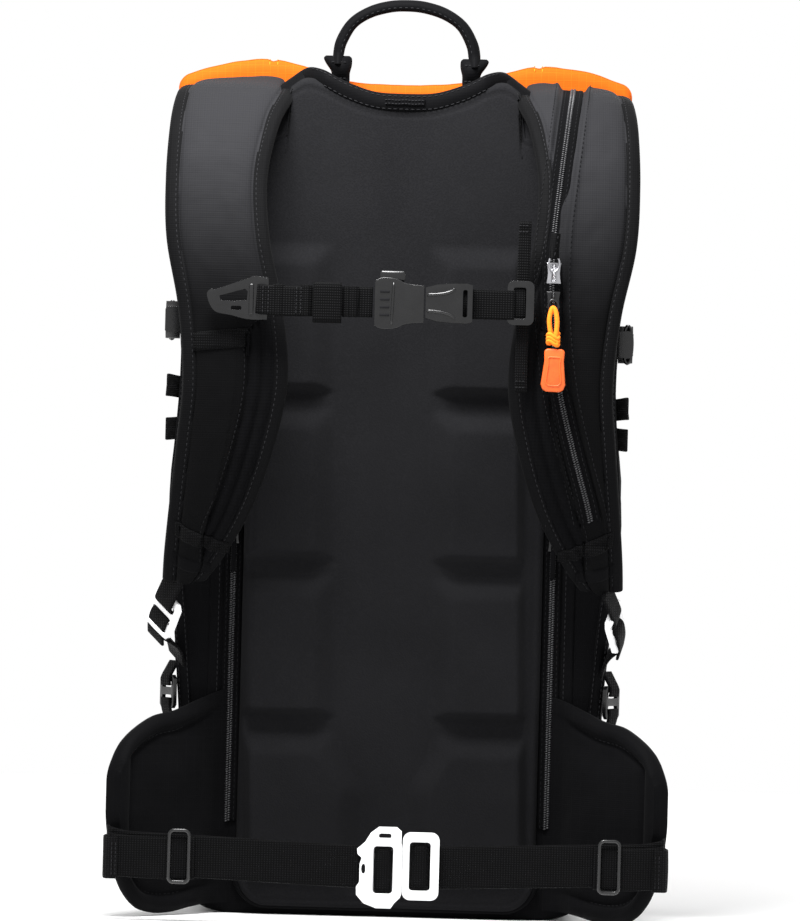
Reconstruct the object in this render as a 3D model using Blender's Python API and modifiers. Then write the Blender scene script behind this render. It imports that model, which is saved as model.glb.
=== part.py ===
"""Avalanche airbag backpack: harness side faces -Y, wearer's left is +X, flat base at Z = 0. Metres."""
import math

import bmesh
import bpy
from mathutils import Matrix, Vector

# Driving dimensions
HALF_WIDTH = 0.140          # bag at mid height
BAG_BACK = -0.080           # open edge of the bag, towards the wearer
BAG_FRONT = 0.080
BAG_TOP = 0.498
HOOD_TOP = 0.5625
WALL = 0.003
GAP = 0.0003                # between pieces that touch
PANEL_HALF = 0.0985         # moulded back panel
PANEL_THICK = 0.010
PAD_HEIGHT = 0.008
PANEL_TOP = 0.516
PAD_ROWS = ((0.345, 0.440), (0.2345, 0.331), (0.1305, 0.2225), (0.031, 0.118))
PANEL_FACE = BAG_BACK - GAP - PANEL_THICK
STRAP_THICK = 0.018
BELT_Z = 0.043              # centre line of the hip belt
BELT_Y = -0.168
BELT_WIDTH = 0.028
CHEST_Z = 0.401             # centre line of the chest strap
CHEST_Y = -0.184
CHEST_WIDTH = 0.022
WEB = 0.0016                # webbing thickness
ZIP_X = 0.105               # side zips of the back panel
ZIP_LOW = 0.060
ZIP_HIGH = 0.262

# Shoulder strap stations: inner edge, outer edge, middle of the pad in Y, height, zip line on the left strap
STRAP = [
    (0.070, 0.148, -0.056, 0.5362, 0.1110),
    (0.074, 0.151, -0.090, 0.5340, 0.1095),
    (0.082, 0.153, -0.118, 0.5150, 0.1065),
    (0.088, 0.154, -0.140, 0.4800, 0.1020),
    (0.085, 0.152, -0.155, 0.4400, 0.0980),
    (0.075, 0.143, -0.162, 0.3950, 0.0985),
    (0.071, 0.139, -0.163, 0.3500, 0.1040),
    (0.078, 0.142, -0.157, 0.3100, 0.1143),
    (0.091, 0.146, -0.146, 0.2700, 0.1260),
    (0.108, 0.149, -0.133, 0.2380, 0.1320),
    (0.121, 0.150, -0.124, 0.2200, 0.1360),
]

# Bag outline, one side: half width and height
BODY_SIDE = [
    (0.100, 0.000), (0.120, 0.005), (0.129, 0.018), (0.132, 0.045), (0.134, 0.100), (0.140, 0.180),
    (0.146, 0.260), (0.141, 0.350), (0.142, 0.420), (0.1455, 0.465), (0.1455, 0.491), (0.140, 0.498),
]

# Hip wing of the left side in plan: X, Y, lowest and highest point
WING = [
    (0.1170, -0.0920, 0.012, 0.130),
    (0.1330, -0.1060, 0.003, 0.133),
    (0.1520, -0.1230, 0.002, 0.127),
    (0.1650, -0.1390, 0.010, 0.118),
    (0.1720, -0.1540, 0.034, 0.104),
]
WING_THICK = 0.012

# Ladder locks at the strap ends: centre, direction of the bars, direction down the strap
LOCKS = {
    "right": ((-0.149, -0.114, 0.197), (16.4, -20.0, -15.1), (-7.9, 9.9, -21.7)),
    "left": ((0.146, -0.114, 0.195), (-6.7, -23.0, -17.9), (7.1, 14.2, -20.9)),
}

COLOURS = {
    "shell": ((0.030, 0.031, 0.034), 0.80, 0.0),
    "foam": ((0.045, 0.045, 0.048), 0.90, 0.0),
    "grey": ((0.060, 0.060, 0.064), 0.70, 0.0),
    "orange": ((0.900, 0.260, 0.050), 0.60, 0.0),
    "webbing": ((0.022, 0.022, 0.024), 0.85, 0.0),
    "plastic": ((0.018, 0.018, 0.020), 0.45, 0.0),
    "alloy": ((0.780, 0.780, 0.780), 0.35, 1.0),
    "steel": ((0.450, 0.450, 0.460), 0.30, 1.0),
    "airbag": ((0.850, 0.200, 0.030), 0.55, 0.0),
    "sheet": ((0.250, 0.260, 0.280), 0.50, 0.0),
}


def clear_scene():
    for obj in list(bpy.data.objects):
        bpy.data.objects.remove(obj, do_unlink=True)


def make_collection(name):
    group = bpy.data.collections.new(name)
    bpy.context.scene.collection.children.link(group)
    return group


def material(key):
    found = bpy.data.materials.get(key)
    if found:
        return found
    colour, rough, metal = COLOURS[key]
    mat = bpy.data.materials.new(key)
    mat.use_nodes = True
    shader = mat.node_tree.nodes["Principled BSDF"]
    shader.inputs["Base Color"].default_value = (*colour, 1.0)
    shader.inputs["Roughness"].default_value = rough
    shader.inputs["Metallic"].default_value = metal
    return mat


def place(obj, key, location=(0, 0, 0), turn=(0, 0, 0)):
    """Link an object to the pack's collection with its material, place and rotation (degrees)."""
    PACK.objects.link(obj)
    obj.location = location
    obj.rotation_euler = [math.radians(a) for a in turn]
    obj.data.materials.clear()
    obj.data.materials.append(material(key))
    return obj


def mesh_object(name, bm):
    bmesh.ops.recalc_face_normals(bm, faces=bm.faces)
    mesh = bpy.data.meshes.new(name)
    bm.to_mesh(mesh)
    bm.free()
    return bpy.data.objects.new(name, mesh)


def box(name, key, size, location, turn=(0, 0, 0), bevel=0.0, segments=1):
    """A block with its edges rounded."""
    bm = bmesh.new()
    bmesh.ops.create_cube(bm, size=1.0)
    bmesh.ops.scale(bm, vec=size, verts=bm.verts)
    obj = place(mesh_object(name, bm), key, location, turn)
    if bevel:
        mod = obj.modifiers.new("edges", "BEVEL")
        mod.width = bevel
        mod.segments = segments
    return obj


def cylinder(name, key, radius, length, location, turn=(0, 0, 0), sides=20, bevel=0.0):
    """A round bar along its own Z."""
    bm = bmesh.new()
    bmesh.ops.create_cone(bm, cap_ends=True, segments=sides, radius1=radius, radius2=radius, depth=length)
    obj = place(mesh_object(name, bm), key, location, turn)
    if bevel:
        mod = obj.modifiers.new("edges", "BEVEL")
        mod.width = bevel
        mod.limit_method = "ANGLE"
    return obj


def rounded(half_w, half_h, radius, centre=(0, 0), steps=3):
    """Outline of a rectangle with round corners, anticlockwise."""
    points = []
    for cx, cy, start in ((1, 1, 0), (-1, 1, 90), (-1, -1, 180), (1, -1, 270)):
        for k in range(steps + 1):
            a = math.radians(start + 90 * k / steps)
            points.append((centre[0] + cx * (half_w - radius) + radius * math.cos(a),
                           centre[1] + cy * (half_h - radius) + radius * math.sin(a)))
    return points


def plate(name, key, outlines, thickness, location, turn=(90, 0, 0), bevel=0.0):
    """A flat plate: the first outline is its edge and the others are holes. Turned 90 about X it faces -Y."""
    curve = bpy.data.curves.new(name, "CURVE")
    curve.dimensions = "2D"
    curve.fill_mode = "BOTH"
    curve.extrude = thickness / 2 - bevel
    curve.bevel_depth = bevel
    curve.bevel_resolution = 0
    curve.offset = -bevel
    for points in outlines:
        spline = curve.splines.new("POLY")
        spline.points.add(len(points) - 1)
        for point, (x, y) in zip(spline.points, points):
            point.co = (x, y, 0, 1)
        spline.use_cyclic_u = True
    return place(bpy.data.objects.new(name, curve), key, location, turn)


def tube(name, key, points, radius, resolution=2):
    """A round wire or hose along a smooth route."""
    curve = bpy.data.curves.new(name, "CURVE")
    curve.dimensions = "3D"
    curve.bevel_depth = radius
    curve.bevel_resolution = resolution
    curve.use_fill_caps = True
    spline = curve.splines.new("POLY")
    spline.points.add(len(points) - 1)
    for point, co in zip(spline.points, points):
        point.co = (*co, 1)
    return place(bpy.data.objects.new(name, curve), key)


def smooth(points, steps):
    """Catmull-Rom curve through tuples of any length."""
    out = []
    last = len(points) - 1
    for i in range(last):
        p0, p1, p2, p3 = points[max(i - 1, 0)], points[i], points[i + 1], points[min(i + 2, last)]
        for k in range(steps):
            t = k / steps
            out.append(tuple(0.5 * (2 * b + (c - a) * t + (2 * a - 5 * b + 4 * c - d) * t * t
                                    + (3 * b - a - 3 * c + d) * t ** 3)
                             for a, b, c, d in zip(p0, p1, p2, p3)))
    out.append(tuple(points[-1]))
    return out


def loft(name, key, sections):
    """A closed body through loops that have the same number of points."""
    bm = bmesh.new()
    loops = [[bm.verts.new(p) for p in section] for section in sections]
    count = len(loops[0])
    for low, high in zip(loops, loops[1:]):
        for i in range(count):
            j = (i + 1) % count
            bm.faces.new((low[i], low[j], high[j], high[i]))
    bm.faces.new(loops[0][::-1])
    bm.faces.new(loops[-1])
    return place(mesh_object(name, bm), key)


def section(centre, across, normal, half_w, half_t, round_off=0.35):
    """A flat section with its corners cut: half_w along across, half_t along normal."""
    cut = half_t * 2 * round_off
    corners = ((-half_w, -half_t + cut), (-half_w + cut, -half_t), (half_w - cut, -half_t),
               (half_w, -half_t + cut), (half_w, half_t - cut), (half_w - cut, half_t),
               (-half_w + cut, half_t), (-half_w, half_t - cut))
    return [centre + across * u + normal * v for u, v in corners]


def ribbon(name, key, path, width, thickness, across, round_off=0.35):
    """A band along a path: across is the direction of its width."""
    path = [Vector(p) for p in path]
    across = Vector(across).normalized()
    sections = []
    for i, point in enumerate(path):
        tangent = (path[min(i + 1, len(path) - 1)] - path[max(i - 1, 0)]).normalized()
        normal = tangent.cross(across).normalized()
        sections.append(section(point, across, normal, width / 2, thickness / 2, round_off))
    return loft(name, key, sections)


def to_mesh(obj):
    """Replace a curve object by the mesh that it draws, so that it can be cut."""
    graph = bpy.context.evaluated_depsgraph_get()
    mesh = bpy.data.meshes.new_from_object(obj.evaluated_get(graph))
    bm = bmesh.new()
    bm.from_mesh(mesh)
    bmesh.ops.remove_doubles(bm, verts=bm.verts, dist=0.00005)
    bm.to_mesh(mesh)
    bm.free()
    name, matrix, mat = obj.name, obj.matrix_world.copy(), obj.data.materials[0]
    bpy.data.objects.remove(obj, do_unlink=True)
    new = bpy.data.objects.new(name, mesh)
    PACK.objects.link(new)
    new.matrix_world = matrix
    new.data.materials.clear()
    new.data.materials.append(mat)
    return new


def boolean(obj, tool, operation="DIFFERENCE"):
    """Cut obj by tool, or join tool to it; the tool moves to the cutters' collection."""
    for group in list(tool.users_collection):
        group.objects.unlink(tool)
    CUTTERS.objects.link(tool)
    tool.hide_render = True
    tool.display_type = "WIRE"
    mod = obj.modifiers.new(operation.lower(), "BOOLEAN")
    mod.operation = operation
    mod.object = tool
    mod.solver = "EXACT"
    return obj


def shell_from(name, key, sections, thickness):
    """A cup: loops joined side to side, the last one closed, then given its wall inwards."""
    bm = bmesh.new()
    loops = [[bm.verts.new(p) for p in loop] for loop in sections]
    count = len(loops[0])
    for low, high in zip(loops, loops[1:]):
        for i in range(count):
            j = (i + 1) % count
            bm.faces.new((low[i], high[i], high[j], low[j]))
    bm.faces.new(loops[-1][::-1])
    mesh = bpy.data.meshes.new(name)
    bm.to_mesh(mesh)
    bm.free()
    obj = place(bpy.data.objects.new(name, mesh), key)
    mod = obj.modifiers.new("wall", "SOLIDIFY")
    mod.thickness = thickness
    mod.offset = -1
    mod.use_even_offset = True
    return obj


# ---- the bag ------------------------------------------------------------------------------------
def body_loop(y, inset=0.0, shrink=(1.0, 1.0)):
    """The bag's outline at one depth, drawn in by inset."""
    middle = BAG_TOP / 2
    scale_x = shrink[0] * (1 - inset / HALF_WIDTH)
    scale_z = shrink[1] * (1 - inset / middle)
    half = [(w * scale_x, y, middle + (h - middle) * scale_z) for w, h in BODY_SIDE]
    return half + [(-x, depth, z) for x, depth, z in reversed(half)]


def make_bag():
    loops = [
        body_loop(BAG_BACK, 0.0, (0.64, 0.92)),
        body_loop(BAG_BACK, 0.005),
        body_loop(BAG_BACK + 0.005),
        body_loop(0.0),
        body_loop(BAG_FRONT - 0.016),
        body_loop(BAG_FRONT - 0.005, 0.006),
        body_loop(BAG_FRONT, 0.020),
    ]
    shell = shell_from("pack_shell", "shell", loops, WALL)
    boolean(shell, cylinder("cut_duct", "shell", 0.0145, 0.03, (-0.045, -0.035, BAG_TOP)))
    boolean(shell, cylinder("cut_cable", "shell", 0.0045, 0.03, (0.112, BAG_BACK, 0.470), (90, 0, 0), 12))
    pocket = box("front_pocket", "shell", (0.232, 0.016, 0.400), (0, BAG_FRONT + GAP + 0.008, 0.235),
                 bevel=0.007, segments=2)
    return shell, pocket


def hood_height(x):
    """Top of the hood across the pack: a dip for the helmet between two raised shoulders."""
    shape = smooth([(0.000, 0.549), (0.040, 0.552), (0.075, 0.5615), (0.095, HOOD_TOP),
                    (0.125, 0.5575), (0.149, 0.5475)], 4)
    for (x0, z0), (x1, z1) in zip(shape, shape[1:]):
        if x <= x1:
            return z0 + (z1 - z0) * (x - x0) / (x1 - x0)
    return shape[-1][1]


def make_hood():
    """Orange cover of the airbag's compartment: a shell open at its bottom."""
    columns = [0.0, 0.030, 0.055, 0.078, 0.100, 0.125, 0.142, 0.1485]
    columns = [-x for x in reversed(columns[1:])] + columns
    rows = [(-0.0470, -0.002, 0.985), (-0.0430, 0.0, 1.0), (0.000, 0.0, 1.0), (0.045, -0.005, 1.0),
            (0.072, -0.014, 0.99), (0.086, -0.030, 0.96)]
    bm = bmesh.new()
    grid = [[bm.verts.new((x * wide, y, hood_height(abs(x)) + drop)) for x in columns]
            for y, drop, wide in rows]
    for near, far in zip(grid, grid[1:]):
        for i in range(len(columns) - 1):
            bm.faces.new((near[i], near[i + 1], far[i + 1], far[i]))
    rim = grid[0] + [row[-1] for row in grid[1:]] + grid[-1][-2::-1] + [row[0] for row in grid[-2:0:-1]]
    foot = [bm.verts.new((v.co.x, v.co.y, BAG_TOP + GAP)) for v in rim]
    for i in range(len(rim)):
        j = (i + 1) % len(rim)
        bm.faces.new((rim[j], rim[i], foot[i], foot[j]))
    mesh = bpy.data.meshes.new("airbag_hood")
    bm.to_mesh(mesh)
    bm.free()
    hood = place(bpy.data.objects.new("airbag_hood", mesh), "orange")
    wall = hood.modifiers.new("wall", "SOLIDIFY")
    wall.thickness = 0.002
    wall.offset = -1
    wall.use_even_offset = True
    box("airbag_folded", "airbag", (0.256, 0.108, 0.022), (0, 0.0125, 0.5115), bevel=0.006, segments=2)


def make_yoke():
    """Padded top edge that the shoulder straps are sewn to, with the collar between them."""
    yoke = box("yoke_base", "grey", (0.286, 0.030, 0.028), (0, -0.0640, 0.5128), bevel=0.005, segments=2)
    boolean(yoke, box("yoke_middle", "grey", (0.128, 0.0284, 0.024), (0, -0.0642, 0.5330), bevel=0.002), "UNION")
    boolean(yoke, box("collar", "grey", (0.126, 0.020, 0.018), (0, -0.0790, 0.5378), bevel=0.003), "UNION")


def make_handle():
    """Haul loop on two webbing tabs: its hinge line runs along X through both tabs."""
    grip = smooth([(-0.0450, 0, 0.0055), (-0.0435, 0, 0.0190), (-0.0340, 0, 0.0335), (-0.0165, 0, 0.0420),
                   (0.0, 0, 0.0437), (0.0165, 0, 0.0420), (0.0340, 0, 0.0335), (0.0435, 0, 0.0190),
                   (0.0450, 0, 0.0055)], 2)
    handle = tube("haul_handle", "webbing", grip, 0.0050)
    handle.location = (0, -0.064, 0.5565)
    for side, sign in (("right", -1), ("left", 1)):
        box("handle_tab_" + side, "webbing", (0.020, 0.004, 0.0155), (sign * 0.045, -0.064, 0.5533),
            bevel=0.001)


def make_back_panel():
    """Moulded foam panel with eight raised pads in four rows."""
    low = 0.004
    middle = (low + PANEL_TOP) / 2
    half_high = (PANEL_TOP - low) / 2
    outline = rounded(PANEL_HALF, half_high, 0.022, steps=4)
    outline[5:5] = [(0.066, half_high), (0.060, half_high + 0.012), (-0.060, half_high + 0.012),
                    (-0.066, half_high)]
    panel = to_mesh(plate("back_panel", "foam", [outline], PANEL_THICK,
                          (0, PANEL_FACE + PANEL_THICK / 2, middle)))
    for k, (bottom, top) in enumerate(PAD_ROWS):
        for sign in (-1, 1):
            pad = box("pad", "foam", (0.056, PAD_HEIGHT + 0.004, top - bottom),
                      (sign * 0.0630, PANEL_FACE - PAD_HEIGHT / 2 + 0.002, (bottom + top) / 2),
                      bevel=0.0055)
            pad.name = "pad_%d_%s" % (k, "right" if sign < 0 else "left")
            boolean(panel, pad, "UNION")


def make_frame():
    """Stiffening sheet and two aluminium stays inside the bag."""
    sheet_y = BAG_BACK + WALL + 0.0025
    plate("frame_sheet", "sheet", [rounded(0.092, 0.225, 0.02, (0, 0.250))], 0.002, (0, sheet_y, 0))
    for side, sign in (("right", -1), ("left", 1)):
        box("frame_stay_" + side, "alloy", (0.020, 0.003, 0.420), (sign * 0.060, sheet_y + 0.0029, 0.250),
            bevel=0.0005)


# ---- inflation system ---------------------------------------------------------------------------
def make_inflation():
    """Gas cartridge, its inflation unit with the spring-loaded puncture pin, and the duct to the airbag."""
    x = -0.045
    y = -0.035
    cartridge = cylinder("gas_cartridge", "steel", 0.0270, 0.190, (x, y, 0.215), sides=24, bevel=0.009)
    cartridge.modifiers["edges"].segments = 2
    boolean(cartridge, cylinder("cut_chamber", "steel", 0.0235, 0.176, (x, y, 0.213), sides=24))
    boolean(cartridge, cylinder("cut_neck", "steel", 0.0040, 0.030, (x, y, 0.305), sides=12))
    unit = box("inflation_unit", "plastic", (0.064, 0.058, 0.085), (x, y, 0.3540), bevel=0.004)
    boolean(unit, cylinder("cut_bore", "plastic", 0.0072, 0.120, (x, y, 0.3540), sides=16))
    cylinder("puncture_pin", "steel", 0.0045, 0.046, (x, y, 0.3390), sides=12, bevel=0.001)
    turns = 5
    coil = [(0.0058 * math.cos(2 * math.pi * k / 8), 0.0058 * math.sin(2 * math.pi * k / 8),
             -0.009 + 0.018 * k / (8 * turns)) for k in range(8 * turns + 1)]
    spring = tube("pin_spring", "steel", coil, 0.0005, 1)
    spring.location = (x, y, 0.3725)
    duct = [(x, y, 0.3970 + 0.0998 * k / 4) for k in range(5)]
    tube("air_duct", "plastic", duct, 0.0110, 2)


def strap_point(t, out=0.0):
    """Middle of the shoulder strap at station t, moved out along its front normal: edges, zip, Y, Z."""
    low = min(int(t), len(FINE_STRAP) - 2)
    part = t - low
    here = [a + (b - a) * part for a, b in zip(FINE_STRAP[low], FINE_STRAP[low + 1])]
    before = FINE_STRAP[max(low - 1, 0)]
    after = FINE_STRAP[min(low + 2, len(FINE_STRAP) - 1)]
    tangent = Vector((0, after[2] - before[2], after[3] - before[3])).normalized()
    normal = Vector((0, tangent.z, -tangent.y))
    return here[0], here[1], here[4], here[2] + normal.y * out, here[3] + normal.z * out, normal


def make_shoulder_straps():
    for side, sign in (("right", -1), ("left", 1)):
        sections = []
        for t in range(len(FINE_STRAP)):
            inner, outer, _, y, z, normal = strap_point(t)
            centre = Vector((sign * (inner + outer) / 2, y, z))
            sections.append(section(centre, Vector((sign, 0, 0)), normal, (outer - inner) / 2, STRAP_THICK / 2))
        strap = loft("shoulder_strap_" + side, "grey", sections)
    boolean(strap, box("cut_pocket", "grey", (0.030, 0.0085, 0.088), (0.1120, -0.1608, 0.3790)))
    boolean(strap, box("cut_slit", "grey", (0.0045, 0.024, 0.080), (0.1000, -0.1720, 0.3790)))
    boolean(strap, cylinder("cut_wire", "grey", 0.0032, 0.020, (0.1180, -0.1520, 0.4170), (90, 0, 0), 10))


def make_trigger():
    """T-grip in the left strap's pocket and the cable that runs behind the strap to the inflation unit."""
    grip = box("trigger_grip", "orange", (0.014, 0.0070, 0.062), (0.1130, -0.1608, 0.3840), bevel=0.002)
    boolean(grip, box("cut_finger", "orange", (0.006, 0.012, 0.020), (0.1130, -0.1608, 0.3680)))
    route = smooth([(0.1180, -0.1488, 0.4170), (0.1180, -0.1420, 0.4260), (0.1170, -0.1330, 0.4480),
                    (0.1150, -0.1180, 0.4680), (0.1120, -0.1000, 0.4700), (0.1120, -0.0700, 0.4700),
                    (0.0900, -0.0520, 0.4660), (0.0350, -0.0420, 0.4350), (0.0000, -0.0350, 0.3950),
                    (-0.0100, -0.0350, 0.3720)], 4)
    tube("trigger_cable", "plastic", route, 0.0022, 2)


# ---- zips ---------------------------------------------------------------------------------------
def tape_profile(half, ridge):
    """Zip tape with its raised coil: across, out."""
    return [(-half, 0), (half, 0), (half, 0.0010), (ridge + 0.0005, 0.0010), (ridge, 0.0022),
            (-ridge, 0.0022), (-ridge - 0.0005, 0.0010), (-half, 0.0010)]


def slider_outline(tab_length):
    """A zip slider's body with its pull hanging below, as one outline."""
    return [(0.0045, 0.006), (-0.0045, 0.006), (-0.0045, -0.004), (-0.0025, -0.006), (-0.0025, -tab_length),
            (-0.0015, -tab_length - 0.0015), (0.0015, -tab_length - 0.0015), (0.0025, -tab_length),
            (0.0025, -0.006), (0.0045, -0.004)]


def make_back_zips():
    for side, sign in (("right", -1), ("left", 1)):
        sections = []
        for z in (ZIP_LOW, ZIP_HIGH):
            sections.append([(sign * ZIP_X + u, BAG_BACK - GAP - v, z) for u, v in tape_profile(0.0055, 0.0022)])
        loft("back_zip_" + side, "shell", sections)
        plate("back_zip_slider_" + side, "steel", [slider_outline(0.026), rounded(0.0012, 0.0020, 0.0010,
              (0, -0.024), 2)], 0.0024, (sign * ZIP_X, BAG_BACK - 3 * GAP - 0.0034, ZIP_HIGH - 0.014))


def make_strap_zip():
    """Zip on the left strap that closes the trigger's pocket, with its two sliders and pulls."""
    sections = []
    for t in range(1, FINE_STEPS * 8 + 1):
        _, _, x, y, z, normal = strap_point(t, STRAP_THICK / 2 + GAP)
        base = Vector((x, y, z))
        sections.append([base + Vector((u, 0, 0)) + normal * v for u, v in tape_profile(0.0065, 0.0022)])
    loft("strap_zip", "shell", sections)
    box("strap_zip_slider_upper", "steel", (0.0095, 0.0036, 0.0140), (0.0985, -0.1728, 0.4230), (-8, 0, 0),
        0.0012)
    box("strap_zip_pull_upper", "grey", (0.0090, 0.0020, 0.0260), (0.0990, -0.1745, 0.4360), (-8, 0, 0), 0.0008)
    box("strap_zip_slider_lower", "steel", (0.0095, 0.0036, 0.0110), (0.0985, -0.1752, 0.4050), (-4, 0, 0),
        0.0012)


def make_pull():
    """Orange knotted loop and moulded tab that hang from the lower slider."""
    loop = smooth([(0.0985, -0.1790, 0.4000), (0.0988, -0.1800, 0.3920), (0.0990, -0.1802, 0.3820),
                   (0.0994, -0.1802, 0.3750)], 3)
    tube("pull_loop", "orange", loop, 0.0020, 2)
    tab = [(-0.0045, 0.0140), (-0.0065, 0.0095), (-0.0078, -0.0090), (-0.0050, -0.0140), (0.0050, -0.0140),
           (0.0078, -0.0090), (0.0065, 0.0095), (0.0045, 0.0140)]
    plate("pull_tab", "orange", [tab], 0.0060, (0.0998, -0.1802, 0.3605), bevel=0.001)


# ---- chest strap --------------------------------------------------------------------------------
def frame_outlines(half_w, half_h, border, radius):
    """A ring with one window."""
    return [rounded(half_w, half_h, radius), rounded(half_w - border, half_h - border, radius * 0.5, steps=2)]


def make_chest_strap():
    """Rail on the left shoulder strap, sliders, webbing, keeper and side-release buckle with its prongs."""
    ribbon("chest_rail_left", "webbing", [(0.0790, -0.1738, 0.3450), (0.0790, -0.1738, 0.4570)],
           0.0080, 0.0020, (1, 0, 0))
    y = CHEST_Y
    z = CHEST_Z
    # right side: forked clip with a hole, its two arms around the rail
    clip = [(0.0200, 0.0125), (-0.0050, 0.0100), (-0.0200, 0.0110), (-0.0210, 0.0060), (-0.0080, 0.0035),
            (-0.0080, -0.0035), (-0.0210, -0.0060), (-0.0200, -0.0110), (-0.0050, -0.0100), (0.0200, -0.0125)]
    plate("chest_slider_right", "plastic", [clip, rounded(0.0028, 0.0028, 0.0027, (0.0, 0.0), 2),
          rounded(0.0020, 0.0095, 0.0010, (0.0145, 0.0), 2)], 0.0050, (-0.1060, y + 0.0050, z), bevel=0.0006)
    # left side: upright ring that rides on the flat rail
    plate("chest_slider_left", "plastic", frame_outlines(0.0085, 0.0140, 0.0030, 0.0030), 0.0050,
          (0.0775, y + 0.0050, z + 0.002), bevel=0.0006)
    ribbon("chest_webbing_right", "webbing", [(-0.0900, y, z - 0.0005), (-0.0175, y, z - 0.0005)],
           CHEST_WIDTH, WEB, (0, 0, 1))
    ribbon("chest_webbing_left", "webbing", [(0.0180, y + 0.0006, z + 0.0015), (0.0740, y + 0.0006, z + 0.0015)],
           CHEST_WIDTH, WEB, (0, 0, 1))
    plate("chest_keeper", "webbing", frame_outlines(0.0085, 0.0135, 0.0022, 0.0015), 0.0024,
          (-0.0465, y - 0.0023, z - 0.001))
    socket = box("chest_buckle_socket", "plastic", (0.0320, 0.0100, 0.0340), (0.0, y - 0.0014, z - 0.0005),
                 bevel=0.0022, segments=2)
    boolean(socket, box("cut_socket", "plastic", (0.0200, 0.0052, 0.0240), (0.0110, y - 0.0030, z + 0.0005)))
    prong = [(0.0150, 0.0120), (-0.0080, 0.0120), (-0.0090, 0.0100), (-0.0200, 0.0100), (-0.0230, 0.0070),
             (-0.0180, 0.0055), (-0.0100, 0.0050), (-0.0100, -0.0050), (-0.0180, -0.0055), (-0.0230, -0.0070),
             (-0.0200, -0.0100), (-0.0090, -0.0100), (-0.0080, -0.0120), (0.0150, -0.0120)]
    plate("chest_buckle_prong", "plastic", [prong, rounded(0.0022, 0.0095, 0.0010, (0.0080, 0.0), 2)], 0.0042,
          (0.0300, y - 0.0030, z + 0.0005))


# ---- hip belt -----------------------------------------------------------------------------------
def make_hip_belt():
    stations = smooth(WING, 3)
    for side, sign in (("right", -1), ("left", 1)):
        sections = []
        for i, (x, y, low, high) in enumerate(stations):
            before = stations[max(i - 1, 0)]
            after = stations[min(i + 1, len(stations) - 1)]
            tangent = Vector((sign * (after[0] - before[0]), after[1] - before[1], 0)).normalized()
            normal = Vector((tangent.y, -tangent.x, 0))
            sections.append(section(Vector((sign * x, y, (low + high) / 2)), Vector((0, 0, 1)), normal,
                                    (high - low) / 2, WING_THICK / 2, 0.40))
        loft("hip_wing_" + side, "shell", sections)
        tip = smooth([(sign * 0.1818, -0.1500, BELT_Z + 0.004), (sign * 0.1808, -0.1600, BELT_Z + 0.004),
                      (sign * 0.1740, -0.1668, BELT_Z + 0.003), (sign * 0.1600, BELT_Y, BELT_Z + 0.001)], 2)
        end = 0.0170 if side == "left" else 0.0150
        keeper_x = 0.1440 if side == "left" else -0.1330
        path = tip + [(sign * 0.080, BELT_Y, BELT_Z - 0.004), (sign * end, BELT_Y, BELT_Z - 0.005)]
        ribbon("hip_webbing_" + side, "webbing", path, BELT_WIDTH, WEB, (0, 0, 1))
        plate("hip_keeper_" + side, "plastic", frame_outlines(0.0075, 0.0180, 0.0022, 0.0030), 0.0030,
              (keeper_x, BELT_Y - WEB / 2 - 0.0018, BELT_Z - 0.001))
    z = BELT_Z - 0.0055
    front = BELT_Y - WEB / 2 - GAP - 0.0015
    hook = [(0.0165, 0.0200), (0.0060, 0.0262), (-0.0060, 0.0262), (-0.0140, 0.0175), (-0.0155, 0.0040),
            (-0.0155, -0.0150), (-0.0075, -0.0262), (0.0060, -0.0262), (0.0165, -0.0205)]
    plate("hip_buckle_hook", "alloy", [hook, rounded(0.0042, 0.0018, 0.0015, (0.0015, 0.0212), 2),
          rounded(0.0060, 0.0145, 0.0012, (0.0010, -0.0015), 2)], 0.0030, (0, front, z), bevel=0.0006)
    plate("hip_buckle_bar", "alloy", [rounded(0.0145, 0.0200, 0.0045), rounded(0.0060, 0.0145, 0.0012, steps=2)],
          0.0026, (0.0010, front - 0.0031, z - 0.0015), bevel=0.0006)
    plate("hip_buckle_frame", "alloy", [rounded(0.0115, 0.0208, 0.0040), rounded(0.0060, 0.0145, 0.0012, steps=2)],
          0.0030, (0.0284, front, z), bevel=0.0006)


# ---- webbing hardware on the sides --------------------------------------------------------------
def make_locks():
    """Aluminium ladder locks at the ends of the shoulder straps, and the webbing below them."""
    for side, (centre, across, down) in LOCKS.items():
        u = Vector(across).normalized()
        v = Vector(down).normalized()
        v = (v - u * v.dot(u)).normalized()
        n = u.cross(v)
        lock = plate("strap_lock_" + side, "alloy", [
            rounded(0.0150, 0.0125, 0.0025), rounded(0.0122, 0.0028, 0.0010, (0, 0.0064), 2),
            rounded(0.0122, 0.0040, 0.0010, (0, -0.0052), 2)], 0.0024, (0, 0, 0), (0, 0, 0), 0.0004)
        lock.matrix_world = Matrix.Translation(centre) @ Matrix((u, -v, -n)).transposed().to_4x4()
        sign = -1 if side == "right" else 1
        start = Vector(centre) + v * 0.0150
        path = smooth([tuple(start), (start.x * 0.985, start.y + 0.012, start.z - 0.012),
                       (sign * 0.1420, -0.0880, 0.1730), (sign * 0.1405, -0.0800, 0.1660)], 3)
        ribbon("strap_webbing_" + side, "webbing", path, 0.0200, WEB, u)
        plate("stabiliser_lock_" + side, "alloy", [
            rounded(0.0095, 0.0110, 0.0022), rounded(0.0070, 0.0025, 0.0008, (0, 0.0055), 2),
            rounded(0.0070, 0.0035, 0.0008, (0, -0.0040), 2)], 0.0022,
            (sign * 0.1460, -0.0740, 0.1440), (90, 0, sign * 60), 0.0004)


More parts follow.
